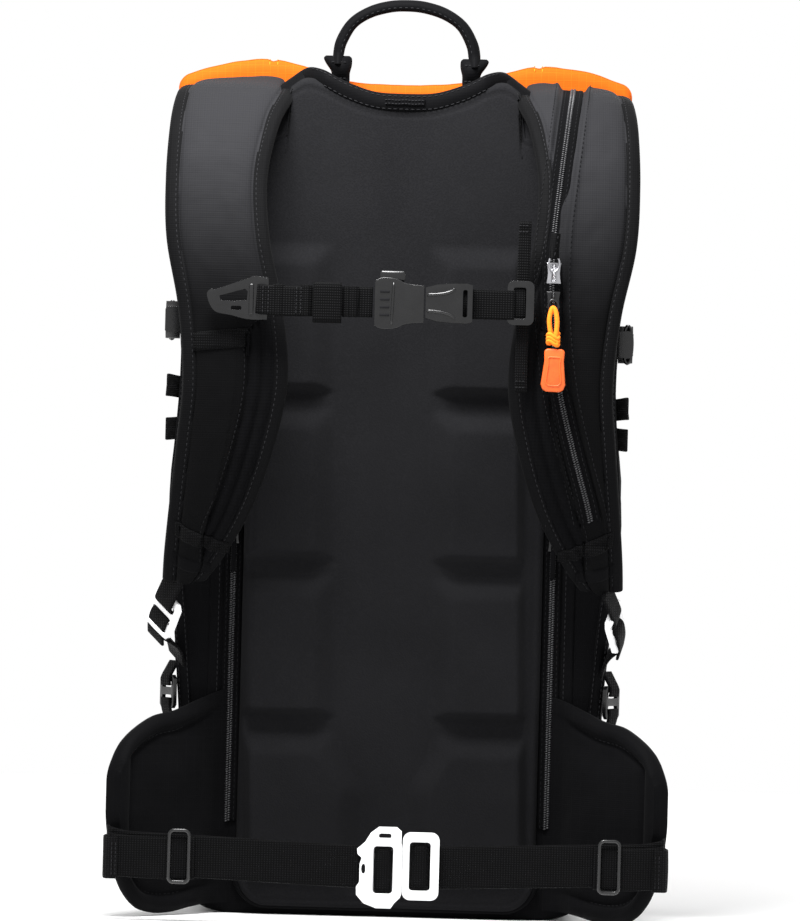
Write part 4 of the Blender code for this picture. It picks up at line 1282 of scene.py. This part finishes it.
def make_chest_strap():
    """Chest strap: forked clip on the right strap, keeper and ribbed webbing."""
    clip = [(-0.0190, -0.0015), (-0.0200, 0.0030), (-0.0178, 0.0058), (-0.0140, 0.0060), (-0.0030, 0.0100),
            (0.0060, 0.0132), (0.0100, 0.0150), (0.0175, 0.0142), (0.0195, 0.0118), (0.0190, -0.0105),
            (0.0170, -0.0128), (0.0060, -0.0128), (-0.0040, -0.0105), (-0.0130, -0.0090),
            (-0.0168, -0.0060)]
    clip = [(x, y) for x, y in smooth_path(clip + [clip[0]], 3)[:-1]]
    at = facing((-0.1040, -0.1812, 0.4010))
    fork = [(-0.0120, 0.0018), (-0.0040, 0.0042), (0.0045, 0.0066), (0.0062, 0.0050), (0.0058, -0.0006),
            (-0.0020, -0.0014), (-0.0110, -0.0012)]
    small = rounded(0.0034, 0.0013, 0.0011, (-0.0010, -0.0058))
    holes = [fork, small, rounded(0.0018, 0.0088, 0.0016, (0.0140, 0))]
    plate("chest_clip", "plastic", [clip[::-1]] + holes, 0.0042, at, 0.0010, "chest_strap",
          ["chest_slider_right"], 4)
    bm = bmesh.new()
    box_into(bm, (0.0030, 0.0200, 0.0046), at @ Matrix.Translation((0.0086, 0, 0.0010)))
    rib = finish_piece(bm, "chest_clip_rib", "plastic", "chest_strap")
    bevelled(rib, 0.0009, 3)
    level = 0.4010
    band("chest_webbing_right_main", [(-0.0905, -0.1826, level), (-0.0700, -0.1836, level - 0.0006),
                                      (-0.0450, -0.1840, level), (-0.0175, -0.1836, level)], 0.0195, 0.0017,
         "webbing_x", "chest_strap", replaces=["chest_webbing_right"], crown=0.0002)
    band("chest_webbing_fold", [(-0.0918, -0.1836, level + 0.0004), (-0.0860, -0.1858, level),
                                (-0.0700, -0.1858, level - 0.0008), (-0.0600, -0.1852, level - 0.0004),
                                (-0.0400, -0.1856, level + 0.0002)], 0.0190, 0.0015, "webbing_x",
                                "chest_strap")
    for k, x in enumerate((-0.0880, -0.0845, -0.0665, -0.0635)):
        line = [(x, -0.1870, level - 0.0080 + 0.016 * i / 16) for i in range(17)]
        stitches("chest_tack_%d" % k, line, -Y, "thread", "chest_strap", 0.0020, 0.0005)
    keeper = facing((-0.0465, -0.1868, 0.4000))
    bm = bmesh.new()
    wrap = [keeper @ Vector((0.0090 * u, 0, 0.0012 + 0.0010 * (1 - u * u))) for u in (-1, -0.8, -0.4, 0,
            0.4, 0.8, 1)]
    tape(bm, wrap, Z, 0.0262, 0.0030, crown=0.0005)
    finish_piece(bm, "chest_keeper_wrap", "webbing_z", "chest_strap", ["chest_keeper"])
    for k, x in enumerate((-0.0780, -0.0600, -0.0340, -0.0300)):
        bm = bmesh.new()
        bump = [(x - 0.0030, -0.1856, level), (x, -0.1874, level + 0.0002), (x + 0.0030, -0.1856, level)]
        tape(bm, smooth_path(bump, 4), Z, 0.0200, 0.0014)
        finish_piece(bm, "chest_webbing_ripple_%d" % k, "webbing_x", "chest_strap")


def make_chest_buckle():
    """Side-release buckle: socket with a slotted whistle mouth, waisted shell, and the pronged half."""
    at = facing((0.0000, -0.1854, 0.4005))
    shell = [(0.0155, 0.0118), (0.0040, 0.0130), (-0.0020, 0.0158), (-0.0105, 0.0166), (-0.0150, 0.0150),
             (-0.0162, 0.0120), (-0.0162, -0.0120), (-0.0150, -0.0150), (-0.0105, -0.0166),
             (-0.0020, -0.0158),
             (0.0040, -0.0130), (0.0155, -0.0118)]
    shell = [(x, y) for x, y in smooth_path(shell, 3)]
    plate("chest_socket_shell", "plastic", [shell], 0.0098, at, 0.0026, "chest_strap",
          ["chest_buckle_socket"], 5)
    bm = bmesh.new()
    lips = [at @ Vector((-0.0052 + 0.0001 * k, -0.0135 + 0.0027 * k, 0.0046 + 0.0004 * math.sin(k * 0.3)))
            for k in range(11)]
    tube_mesh(bm, lips, 0.0009, 8)
    finish_piece(bm, "chest_socket_lip", "plastic", "chest_strap")
    bm = bmesh.new()
    for k in range(4):
        box_into(bm, (0.0062, 0.0016, 0.0014),
            at @ Matrix.Translation((-0.0098, -0.0075 + 0.0050 * k, 0.0050)))
    slots = finish_piece(bm, "chest_whistle_vents", "thread_dark", "chest_strap")
    bevelled(slots, 0.0004, 2)
    bm = bmesh.new()
    mouth = at @ Matrix.Translation((-0.0050, 0.0176, 0.0000))
    box_into(bm, (0.0165, 0.0072, 0.0060), mouth)
    bevelled(finish_piece(bm, "chest_whistle_mouth", "plastic", "chest_strap"), 0.0018, 4)
    prong_at = facing((0.0300, -0.1862, 0.4015))
    frame_plate = [(-0.0135, 0.0098), (-0.0060, 0.0118), (0.0040, 0.0126), (0.0130, 0.0128),
            (0.0165, 0.0118),
                   (0.0165, -0.0118), (0.0130, -0.0128), (0.0040, -0.0126), (-0.0060, -0.0118),
                   (-0.0135, -0.0098)]
    plate("chest_prong_frame", "plastic",
            [frame_plate[::-1], rounded(0.0016, 0.0088, 0.0014, (0.0118, 0))], 0.0076,
          prong_at, 0.0019, "chest_prong", ["chest_buckle_prong"], 4)
    for sign in (-1, 1):
        bm = bmesh.new()
        arc = [prong_at @ Vector((-0.0128 + 0.0175 * math.sin(a),
                sign * (0.0015 + 0.0082 * (1 - math.cos(a) * 0.55)),
                                  0.0036)) for a in (math.pi / 2 * k / 12 for k in range(13))]
        tube_mesh(bm, arc, 0.0011, 8)
        finish_piece(bm, "chest_prong_rib_%d" % sign, "plastic", "chest_prong")
    bm = bmesh.new()
    box_into(bm, (0.0026, 0.0172, 0.0030), prong_at @ Matrix.Translation((0.0118, 0, 0.0)))
    finish_piece(bm, "chest_prong_web", "webbing_x", "chest_prong")
    level = 0.4015
    band("chest_webbing_left_main", [(0.0440, -0.1838, level), (0.0570, -0.1832, level),
            (0.0735, -0.1826, level)],
         0.0192, 0.0017, "webbing_x", "chest_strap", replaces=["chest_webbing_left"], crown=0.0002)
    ring = facing((0.0775, -0.1806, 0.4030))
    plate("chest_ring", "plastic", [rounded(0.0086, 0.0142, 0.0040),
            rounded(0.0040, 0.0100, 0.0012, (-0.0006, 0))],
          0.0050, ring, 0.0012, "chest_strap", ["chest_slider_left"], 4)
    bm = bmesh.new()
    box_into(bm, (0.0080, 0.0190, 0.0022), ring @ Matrix.Translation((-0.0010, 0, 0.0004)))
    bevelled(finish_piece(bm, "chest_ring_web", "webbing_x", "chest_strap"), 0.0008, 2)
    band("chest_rail", [(0.0792, -0.1745, 0.3460), (0.0790, -0.1752, 0.3800), (0.0790, -0.1752, 0.4220),
                        (0.0794, -0.1745, 0.4560)], 0.0080, 0.0018, "webbing_z", "pack", X, "webbing",
         ["chest_rail_left"])
    for k, z in enumerate((0.3490, 0.3530, 0.4490, 0.4530)):
        line = [(0.0758 + 0.0065 * i / 8, -0.1762, z) for i in range(9)]
        stitches("chest_rail_tack_%d" % k, line, -Y, "thread", "pack", 0.0016, 0.0005)


# ---- hip belt -----------------------------------------------------------------------------------
WING = [  # X, Y, lower edge, upper edge
    (0.1040, -0.0812, 0.0060, 0.1480), (0.1160, -0.0880, 0.0060, 0.1440), (0.1280, -0.1000, 0.0040, 0.1385),
    (0.1400, -0.1110, 0.0012, 0.1330), (0.1520, -0.1220, 0.0012, 0.1300), (0.1620, -0.1340, 0.0060, 0.1235),
    (0.1700, -0.1450, 0.0200, 0.1150), (0.1745, -0.1530, 0.0440, 0.1040), (0.1760, -0.1570, 0.0620, 0.0950)]
WING_LINE = smooth_path(WING, 9)
WING_THICK = 0.012


def wing_frame(j):
    """Place, contour and front normal of one upright line on a wing, for the +X side."""
    x, y, low, high = WING_LINE[j]
    before = WING_LINE[max(j - 1, 0)]
    after = WING_LINE[min(j + 1, len(WING_LINE) - 1)]
    along = Vector((after[0] - before[0], after[1] - before[1], 0)).normalized()
    return x, y, low, high, Vector((along.y, -along.x, 0)) * (1 if along.x > 0 else -1)


def make_wing(side):
    """Padded hip wing that grows out of the bag's back edge: a soft face inside a thick rolled rim."""
    name = "left" if side > 0 else "right"
    body = "hip_wing_" + name
    high_steps = 64
    rows = []
    count = len(WING_LINE)
    bm = bmesh.new()
    for j in range(count):
        x, y, low, high, normal = wing_frame(j)
        normal = Vector((side * normal.x, normal.y, 0))
        grown = smoothstep(0.106, 0.134, x)
        row = []
        for k in range(high_steps + 1):
            v = 0.5 - 0.5 * math.cos(math.pi * k / high_steps)
            z = low + (high - low) * v
            end = (0.1762 - x) * 1.5 + 0.0015
            edge = min(z - low, high - z, end)
            soft = math.sqrt(max(0.0, 1 - (1 - min(edge / 0.0060, 1.0)) ** 2))
            rim = 0.0020 * math.sin(math.pi * min(edge / 0.0125, 1.0))
            press = 0.0026 * math.exp(-((edge - 0.0125) / 0.0022) ** 2)
            pad = 0.0034 * smoothstep(0.014, 0.040, edge)
            fold = 0.0010 * crease((x, y, z), 38.0, side) + 0.0006 * crease((x, y, z), 90.0, side)
            thick = WING_THICK * 0.34 * soft + rim + pad - press + fold * smoothstep(0.008, 0.02, edge)
            row.append(Vector((side * x, y, z)) + normal * (thick * grown + 0.0008 * (1 - grown)))
        for k in range(high_steps, -1, -2):
            v = 0.5 - 0.5 * math.cos(math.pi * k / high_steps)
            z = low + (high - low) * v
            edge = min(z - low, high - z)
            soft = math.sqrt(max(0.0, 1 - (1 - min(edge / 0.006, 1.0)) ** 2))
            row.append(Vector((side * x, y, z)) - normal * (WING_THICK * 0.45 * soft * grown + 0.0006))
        rows.append(row)
    verts = grid_body(bm, rows, True)
    cap(bm, verts[0][::-1])
    cap(bm, verts[-1])
    wing = finish_piece(bm, "wing_pad_" + name, "body", None, ["hip_wing_" + name])
    wing.data.materials.append(M["binding"])
    width = high_steps + 1 + len(range(high_steps, -1, -2))
    for face in wing.data.polygons:
        x, _, low, high = WING_LINE[min(min(face.vertices) // width, count - 1)]
        z = face.center.z
        if x > 0.132 and min(z - low, high - z, (0.1762 - x) * 1.5) < 0.0115:
            face.material_index = 1
    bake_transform(wing)
    for top in (False, True):
        path = []
        normals = []
        for j in range(count):
            x, y, low, high, normal = wing_frame(j)
            if x < 0.136 or x > 0.170:
                continue
            normal = Vector((side * normal.x, normal.y, 0))
            z = high - 0.0125 if top else low + 0.0125
            path.append(Vector((side * x, y, z)) + normal * (WING_THICK * 0.34 - 0.0022))
            normals.append(normal)
        stitches("wing_stitch_%s_%d" % (name, top), path, normals, "thread", body)
    return wing


def make_belt(side):
    """Belt half: ribbed webbing from the wing's tip to the buckle, with its stitched end and wire keeper."""
    name = "left" if side > 0 else "right"
    body = "hip_belt_" + name
    inner = 0.017 if side > 0 else -0.015
    end_x = abs(inner)
    level = 0.0380
    points = [(side * 0.1795, -0.1560, 0.0470), (side * 0.1785, -0.1630, 0.0458),
            (side * 0.1720, -0.1680, 0.0442),
              (side * 0.1600, -0.1690, 0.0430), (side * 0.1200, -0.1684, 0.0416),
              (side * 0.0700, -0.1680, 0.0396),
              (side * (end_x + 0.008), -0.1680, level), (side * end_x, -0.1680, level)]
    band("belt_webbing_" + name, points, 0.0276, 0.0019, "webbing_x", body,
            replaces=["hip_webbing_" + name],
         crown=0.0002, steps=14)
    keeper_x = 0.1440 if side > 0 else 0.1330
    tail = [(side * 0.1800, -0.1635, 0.0430), (side * 0.1775, -0.1680, 0.0418),
            (side * 0.1700, -0.1708, 0.0412),
            (side * (keeper_x + 0.012), -0.1712, 0.0402), (side * (keeper_x - 0.010), -0.1704, 0.0406)]
    band("belt_tail_" + name, tail, 0.0272, 0.0018, "webbing_x", body, crown=0.0002, steps=10)
    bm = bmesh.new()
    fold = [(side * 0.1798, -0.1560, 0.0405), (side * 0.1812, -0.1600, 0.0398),
            (side * 0.1806, -0.1650, 0.0396),
            (side * 0.1770, -0.1690, 0.0398), (side * 0.1725, -0.1716, 0.0400)]
    tape(bm, smooth_path(fold, 6), Z, 0.0276, 0.0022, crown=0.0003)
    finish_piece(bm, "belt_hem_" + name, "webbing_x", body)
    for k, x in enumerate((0.1762, 0.1738)):
        line = [(side * x, -0.1712 - 0.0010 * k, 0.0290 + 0.022 * i / 18) for i in range(19)]
        stitches("belt_tack_%s_%d" % (name, k), line, -Y, "thread", body, 0.0022, 0.0005)
    keeper = facing((side * keeper_x, -0.1716, 0.0418))
    bm = bmesh.new()
    hoop_line = rounded(0.0064, 0.0166, 0.0032)
    hoop = [keeper @ Vector((x, y, 0.0010)) for x, y in hoop_line + hoop_line[:1]]
    tube_mesh(bm, hoop, 0.0013, 10, False)
    finish_piece(bm, "belt_keeper_" + name, "plastic", body, ["hip_keeper_" + name])


def octagon(half_w, half_h, cut, side=0):
    """Outline with its corners cut off; side 1 or -1 leaves the other side's corners square."""
    points = []
    for sx, sy in ((1, -1), (1, 1), (-1, 1), (-1, -1)):
        c = cut if side in (0, sx) else cut * 0.25
        a = (sx * half_w, sy * (half_h - c))
        b = (sx * (half_w - c), sy * half_h)
        points += [a, b] if sx * sy > 0 else [b, a]
    return points


def make_hip_buckle():
    """White alloy hook buckle: notched hook plate, ring bar in front of it and the frame of the left half."""
    body = "hip_belt_right"
    at = facing((-0.0035, -0.1712, 0.0378))
    hook = [(-0.0010, 0.0262), (0.0105, 0.0262), (0.0136, 0.0236), (0.0136, -0.0190), (0.0100, -0.0226),
            (0.0075, -0.0262), (-0.0020, -0.0262), (-0.0100, -0.0232), (-0.0148, -0.0178),
            (-0.0150, -0.0128),
            (-0.0130, -0.0096), (-0.0130, 0.0020), (-0.0118, 0.0060), (-0.0145, 0.0085), (-0.0148, 0.0118),
            (-0.0098, 0.0162), (-0.0062, 0.0222)]
    slot_hole = rounded(0.0061, 0.0156, 0.0026, (0.0022, -0.0012))
    top_slot = rounded(0.0040, 0.0016, 0.0014, (0.0030, 0.0204))
    rivet = [(-0.0105 + 0.0014 * math.cos(a), -0.0010 + 0.0032 * math.sin(a))
             for a in (2 * math.pi * k / 20 for k in range(20))]
    plate("buckle_hook_plate", "alloy", [hook, slot_hole, top_slot, rivet], 0.0030, at, 0.0009, body,
          ["hip_buckle_hook"], 4)
    bar = facing((-0.0010, -0.1748, 0.0366))
    plate("buckle_ring_bar", "alloy", [rounded(0.0118, 0.0205, 0.0062),
            rounded(0.0066, 0.0152, 0.0026, (-0.0004, 0))],
          0.0032, bar, 0.0012, body, ["hip_buckle_bar"], 4)
    left = facing((0.0228, -0.1720, 0.0392))
    plate("buckle_left_frame", "alloy",
            [rounded(0.0118, 0.0218, 0.0052), rounded(0.0068, 0.0156, 0.0022, (-0.0006, 0))],
          0.0034, left, 0.0012, "hip_belt_left", ["hip_buckle_frame"], 4)
    for name, where, owner, shift in (("right", bar, body, -0.0004),
            ("left", left, "hip_belt_left", -0.0006)):
        bm = bmesh.new()
        wrap = [where @ Vector((shift + 0.0052 * math.sin(a), 0, -0.0024 + 0.0030 * math.cos(a)))
                for a in (-1.9 + 3.8 * k / 12 for k in range(13))]
        tape(bm, wrap, Z, 0.0268, 0.0016, crown=0.0002)
        finish_piece(bm, "buckle_web_" + name, "webbing_x", owner)
        bm = bmesh.new()
        for sign in (-1, 1):
            box_into(bm, (0.0098, 0.0026, 0.0022),
                where @ Matrix.Translation((shift, sign * 0.0140, -0.0006)))
        bevelled(finish_piece(bm, "buckle_web_edge_" + name, "webbing_x", owner), 0.0007, 2)


# ---- locks, stabilisers and side compression ----------------------------------------------------
LOCKS = {
    "right": ((-0.149, -0.114, 0.197), (16.4, -20, -15.1), (-7.9, 9.9, -21.7)),
    "left": ((0.146, -0.114, 0.195), (-6.7, -23, -17.9), (7.1, 14.2, -20.9)),
}


def make_strap_lock(name):
    """Alloy ladder lock at the foot of a shoulder strap, with its webbing above and below."""
    centre, bars, down = (Vector(v) for v in LOCKS[name])
    bars.normalize()
    down = (down.normalized() - bars * bars.dot(down.normalized())).normalized()
    face = down.cross(bars).normalized()
    if face.y > 0:
        face = -face
    turn = Matrix((bars, face.cross(bars), face)).transposed().to_4x4()
    at = Matrix.Translation(centre) @ turn
    body = "strap_lock_" + name
    outline = octagon(0.0150, 0.0126, 0.0030)
    holes = [rounded(0.0108, 0.0021, 0.0014, (0, 0.0062)), rounded(0.0108, 0.0021, 0.0014, (0, -0.0020))]
    plate("lock_plate_" + name, "alloy", [outline] + holes, 0.0026, at, 0.0009, body,
          ["strap_lock_" + name], 4)
    bm = bmesh.new()
    lip = [at @ Vector((x, -0.0110, 0.0016 + 0.0010 * math.cos(x / 0.014 * 1.4))) for x in
           (-0.0135 + 0.0027 * k for k in range(11))]
    tube_mesh(bm, lip, 0.0015, 10)
    finish_piece(bm, "lock_lip_" + name, "alloy", body)
    sign = 1 if name == "left" else -1
    up = -down
    top = [centre + up * 0.0300 + face * 0.0010, centre + up * 0.0160 + face * 0.0026,
           centre + up * 0.0065 + face * 0.0030, centre + up * 0.0040 - face * 0.0010]
    band("lock_webbing_top_" + name, [tuple(p) for p in top], 0.0192, 0.0020, "webbing_z", "pack", bars)
    tail = [centre + up * 0.0010 - face * 0.0008, centre + down * 0.0030 + face * 0.0022,
            centre + down * 0.0120 + face * 0.0014, centre + down * 0.0200 - face * 0.0016]
    band("lock_webbing_low_" + name, [tuple(p) for p in tail], 0.0192, 0.0020, "webbing_z", "pack", bars)
    long = [tuple(centre + down * 0.015 - face * 0.0010), (sign * 0.1450, -0.1010, 0.1790),
            (sign * 0.1420, -0.0880, 0.1730), (sign * 0.1405, -0.0800, 0.1660)]
    band("strap_webbing_band_" + name, long, 0.0196, 0.0020, "webbing_z", "pack", bars,
         replaces=["strap_webbing_" + name])


def make_stabiliser(name):
    """Small lock that pulls the hip wing in, on a webbing loop at the side seam."""
    sign = 1 if name == "left" else -1
    centre = Vector((sign * 0.1460, -0.0740, 0.1440))
    at = (Matrix.Translation(centre) @ Matrix.Rotation(math.radians(sign * 60), 4, "Z")
          @ Matrix.Rotation(math.radians(90), 4, "X"))
    outline = octagon(0.0095, 0.0110, 0.0024)
    holes = [rounded(0.0062, 0.0020, 0.0012, (0, 0.0048)), rounded(0.0062, 0.0020, 0.0012, (0, -0.0042))]
    plate("stabiliser_plate_" + name, "plastic", [outline] + holes, 0.0026, at, 0.0009,
          "stabiliser_lock_" + name, ["stabiliser_lock_" + name], 4)
    across = at.to_3x3() @ X
    out = at.to_3x3() @ Z
    points = [centre + Z * 0.0040 + out * 0.0018, centre + Z * 0.0090 + out * 0.0022,
              centre + Z * 0.0150 - out * 0.0010, centre + Z * 0.0200 - out * 0.0040]
    band("stabiliser_web_" + name, [tuple(p) for p in points], 0.0125, 0.0018, "webbing_z", "pack", across)
    points = [centre - Z * 0.0040 + out * 0.0018, centre - Z * 0.0100 + out * 0.0014,
              centre - Z * 0.0180 - out * 0.0010]
    band("stabiliser_tail_" + name, [tuple(p) for p in points], 0.0125, 0.0018, "webbing_z", "pack", across)


def make_side_strap(name):
    """Side compression strap with its side-release buckle, and the folded webbing loops below it."""
    sign = 1 if name == "left" else -1
    level = 0.3810 if name == "left" else 0.3900
    band("side_webbing_band_" + name, [(sign * 0.1449, -0.0450, level), (sign * 0.1462, -0.0240, level),
                                       (sign * 0.1449, 0.0200, level), (sign * 0.1445, 0.0600, level)],
         0.0180, 0.0018, "webbing_y", "pack", Z, replaces=["side_webbing_" + name], crown=0.0002)
    at = Matrix.Translation((sign * 0.1512, -0.0240, level)) @ Matrix.Rotation(math.radians(90 * sign), 4,
            "Z") \
        @ Matrix.Rotation(math.radians(90), 4, "X")
    shell = octagon(0.0118, 0.0123, 0.0036)
    plate("side_socket_shell_" + name, "plastic", [shell, rounded(0.0018, 0.0080, 0.0012, (-0.0080 , 0))],
            0.0090, at,
          0.0020, "pack", ["side_buckle_socket_" + name], 4)
    for k in range(3):
        bm = bmesh.new()
        box_into(bm, (0.0012, 0.0150, 0.0012), at @ Matrix.Translation((-0.0020 + 0.0032 * k, 0, 0.0046)))
        bevelled(finish_piece(bm, "side_socket_rib_%s_%d" % (name, k), "plastic", "pack"), 0.0004, 2)
    bm = bmesh.new()
    loop = [at @ Vector((-0.0105, 0.0125 * math.cos(a), 0.0010 + 0.0030 * math.sin(a)))
            for a in (2 * math.pi * k / 24 for k in range(25))]
    tube_mesh(bm, loop, 0.0012, 8, False)
    finish_piece(bm, "side_socket_bail_" + name, "plastic", "pack")
    low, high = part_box("side_buckle_prong_" + name)
    middle = (low + high) / 2
    prong = Matrix.Translation(middle) @ Matrix.Rotation(math.radians(90 * sign), 4, "Z") \
        @ Matrix.Rotation(math.radians(90), 4, "X")
    size = high - low
    plate("side_prong_plate_" + name, "plastic", [octagon(size.y / 2, size.z / 2, 0.0026),
                                                  rounded(0.0016, size.z / 2 - 0.005, 0.0010,
                                                  (size.y * 0.18, 0))],
          size.x * 0.9, prong, 0.0013, "side_prong_" + name,
          ["side_buckle_prong_" + name], 4)
    for k, (z, turn) in enumerate(((0.3370 if sign > 0 else 0.3450, 0.35), (0.3180, -0.25))):
        bm = bmesh.new()
        base = Vector((sign * 0.1440, -0.0480, z))
        reach = Vector((sign * 0.0085, -0.0040, 0.0035 * turn))
        loop = [base + reach * (math.sin(a)) + Vector((0, 0.0055 * math.cos(a), 0))
                for a in (math.pi * i / 10 for i in range(11))]
        tape(bm, loop, Vector((0, 0.25, 1)), 0.0150, 0.0018)
        finish_piece(bm, "side_loop_%s_%d" % (name, k), "webbing_y", "pack")


# ---- inside of the pack -------------------------------------------------------------------------
def make_inside():
    """Folded airbag under the hood, and finishes for the hard parts that the CAD model gives in full."""
    low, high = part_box("airbag_folded")
    bm = bmesh.new()
    rows = []
    middle = (low + high) / 2
    size = (high - low) / 2
    for j in range(49):
        v = -1 + 2 * j / 48
        row = []
        for k in range(40):
            a = 2 * math.pi * k / 40
            flat = abs(math.cos(a)) ** 0.35 * math.copysign(1, math.cos(a))
            tall = abs(math.sin(a)) ** 0.5 * math.copysign(1, math.sin(a))
            pleat = 0.94 + 0.05 * math.cos(a * 14)
            row.append((middle.x + size.x * v * 0.985, middle.y + size.y * flat * pleat,
                        middle.z + size.z * tall * (0.93 + 0.05 * crease((v, a, 1), 3.0))))
        rows.append(row)
    verts = grid_body(bm, rows, True)
    cap(bm, verts[0][::-1])
    cap(bm, verts[-1])
    finish_piece(bm, "folded_airbag_cloth", "airbag", "pack", ["airbag_folded"])
    finishes = {
        "frame_sheet": "sheet", "frame_stay_left": "alloy_plain", "frame_stay_right": "alloy_plain",
        "gas_cartridge": "cylinder", "inflation_unit": "grey_plastic", "puncture_pin": "steel",
        "pin_spring": "steel", "air_duct": "grey_plastic", "trigger_cable": "plastic",
        "trigger_grip": "pull",
    }
    for node, mat in finishes.items():
        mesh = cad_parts[node].data
        mesh.materials.clear()
        mesh.materials.append(M[mat])
        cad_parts[node].data.shade_smooth()
        mesh.set_sharp_from_angle(angle=math.radians(35))


# ---- studio -------------------------------------------------------------------------------------
def area_light(name, location, target, size, power, size_y=None):
    data = bpy.data.lights.new(name, "AREA")
    data.energy = power
    data.size = size
    if size_y:
        data.shape = "RECTANGLE"
        data.size_y = size_y
    obj = bpy.data.objects.new(name, data)
    obj.location = location
    obj.rotation_euler = (Vector(target) - Vector(location)).to_track_quat("-Z", "Y").to_euler()
    bpy.context.scene.collection.objects.link(obj)
    return obj


def make_studio():
    """Pale round floor, white surround and a soft box above, with the camera square to the harness."""
    bm = bmesh.new()
    bmesh.ops.create_circle(bm, cap_ends=True, segments=96, radius=1.6)
    mesh = bpy.data.meshes.new("floor")
    bm.to_mesh(mesh)
    bm.free()
    floor = bpy.data.objects.new("floor", mesh)
    floor.location = (0, 0, -0.0006)
    bpy.context.scene.collection.objects.link(floor)
    pale = Shader("floor_paint", 0.7)
    pale.colour(pale.ramp(pale.noise(3.0, 2.0), [(0.3, (0.93, 0.93, 0.93)), (0.7, (0.95, 0.95, 0.95))]))
    mesh.materials.append(pale.mat)
    world = bpy.data.worlds.new("surround")
    world.use_nodes = True
    world.node_tree.nodes["Background"].inputs["Color"].default_value = (1, 1, 1, 1)
    world.node_tree.nodes["Background"].inputs["Strength"].default_value = 1.0
    bpy.context.scene.world = world
    bpy.context.scene.view_settings.view_transform = "Standard"
    area_light("key_above", (-0.10, -0.40, 0.92), (0, -0.1, 0.44), 0.30, 13)
    area_light("fill_behind", (0.5, 1.7, 1.1), (0, 0, 0.30), 1.0, 5)
    data = bpy.data.cameras.new("camera")
    data.lens = 36 * 4.0 / (0.6051)
    data.sensor_width = 36
    data.clip_start = 0.1
    data.clip_end = 60
    camera = bpy.data.objects.new("camera", data)
    bpy.context.scene.collection.objects.link(camera)
    camera.matrix_world = (Matrix.Translation((0.0027, -4.09, 0.3000)) @ Matrix.Rotation(math.radians(90),
            4, "X")
                           @ Matrix.Rotation(math.radians(1.5), 4, "Z"))
    bpy.context.scene.camera = camera


# ---- build --------------------------------------------------------------------------------------
make_back_panel()
make_body()
make_front_pocket()
make_hood()
make_yoke()
make_handle()
make_strap_details()
make_strap_zip()
make_zip_sliders()
make_strap_sliders()
make_trigger_pull()
make_chest_strap()
make_chest_buckle()
for wearer_side in (-1, 1):
    make_wing(wearer_side)
    make_belt(wearer_side)
make_hip_buckle()
for side_name in ("right", "left"):
    make_strap_lock(side_name)
    make_stabiliser(side_name)
    make_side_strap(side_name)
make_inside()
make_studio()
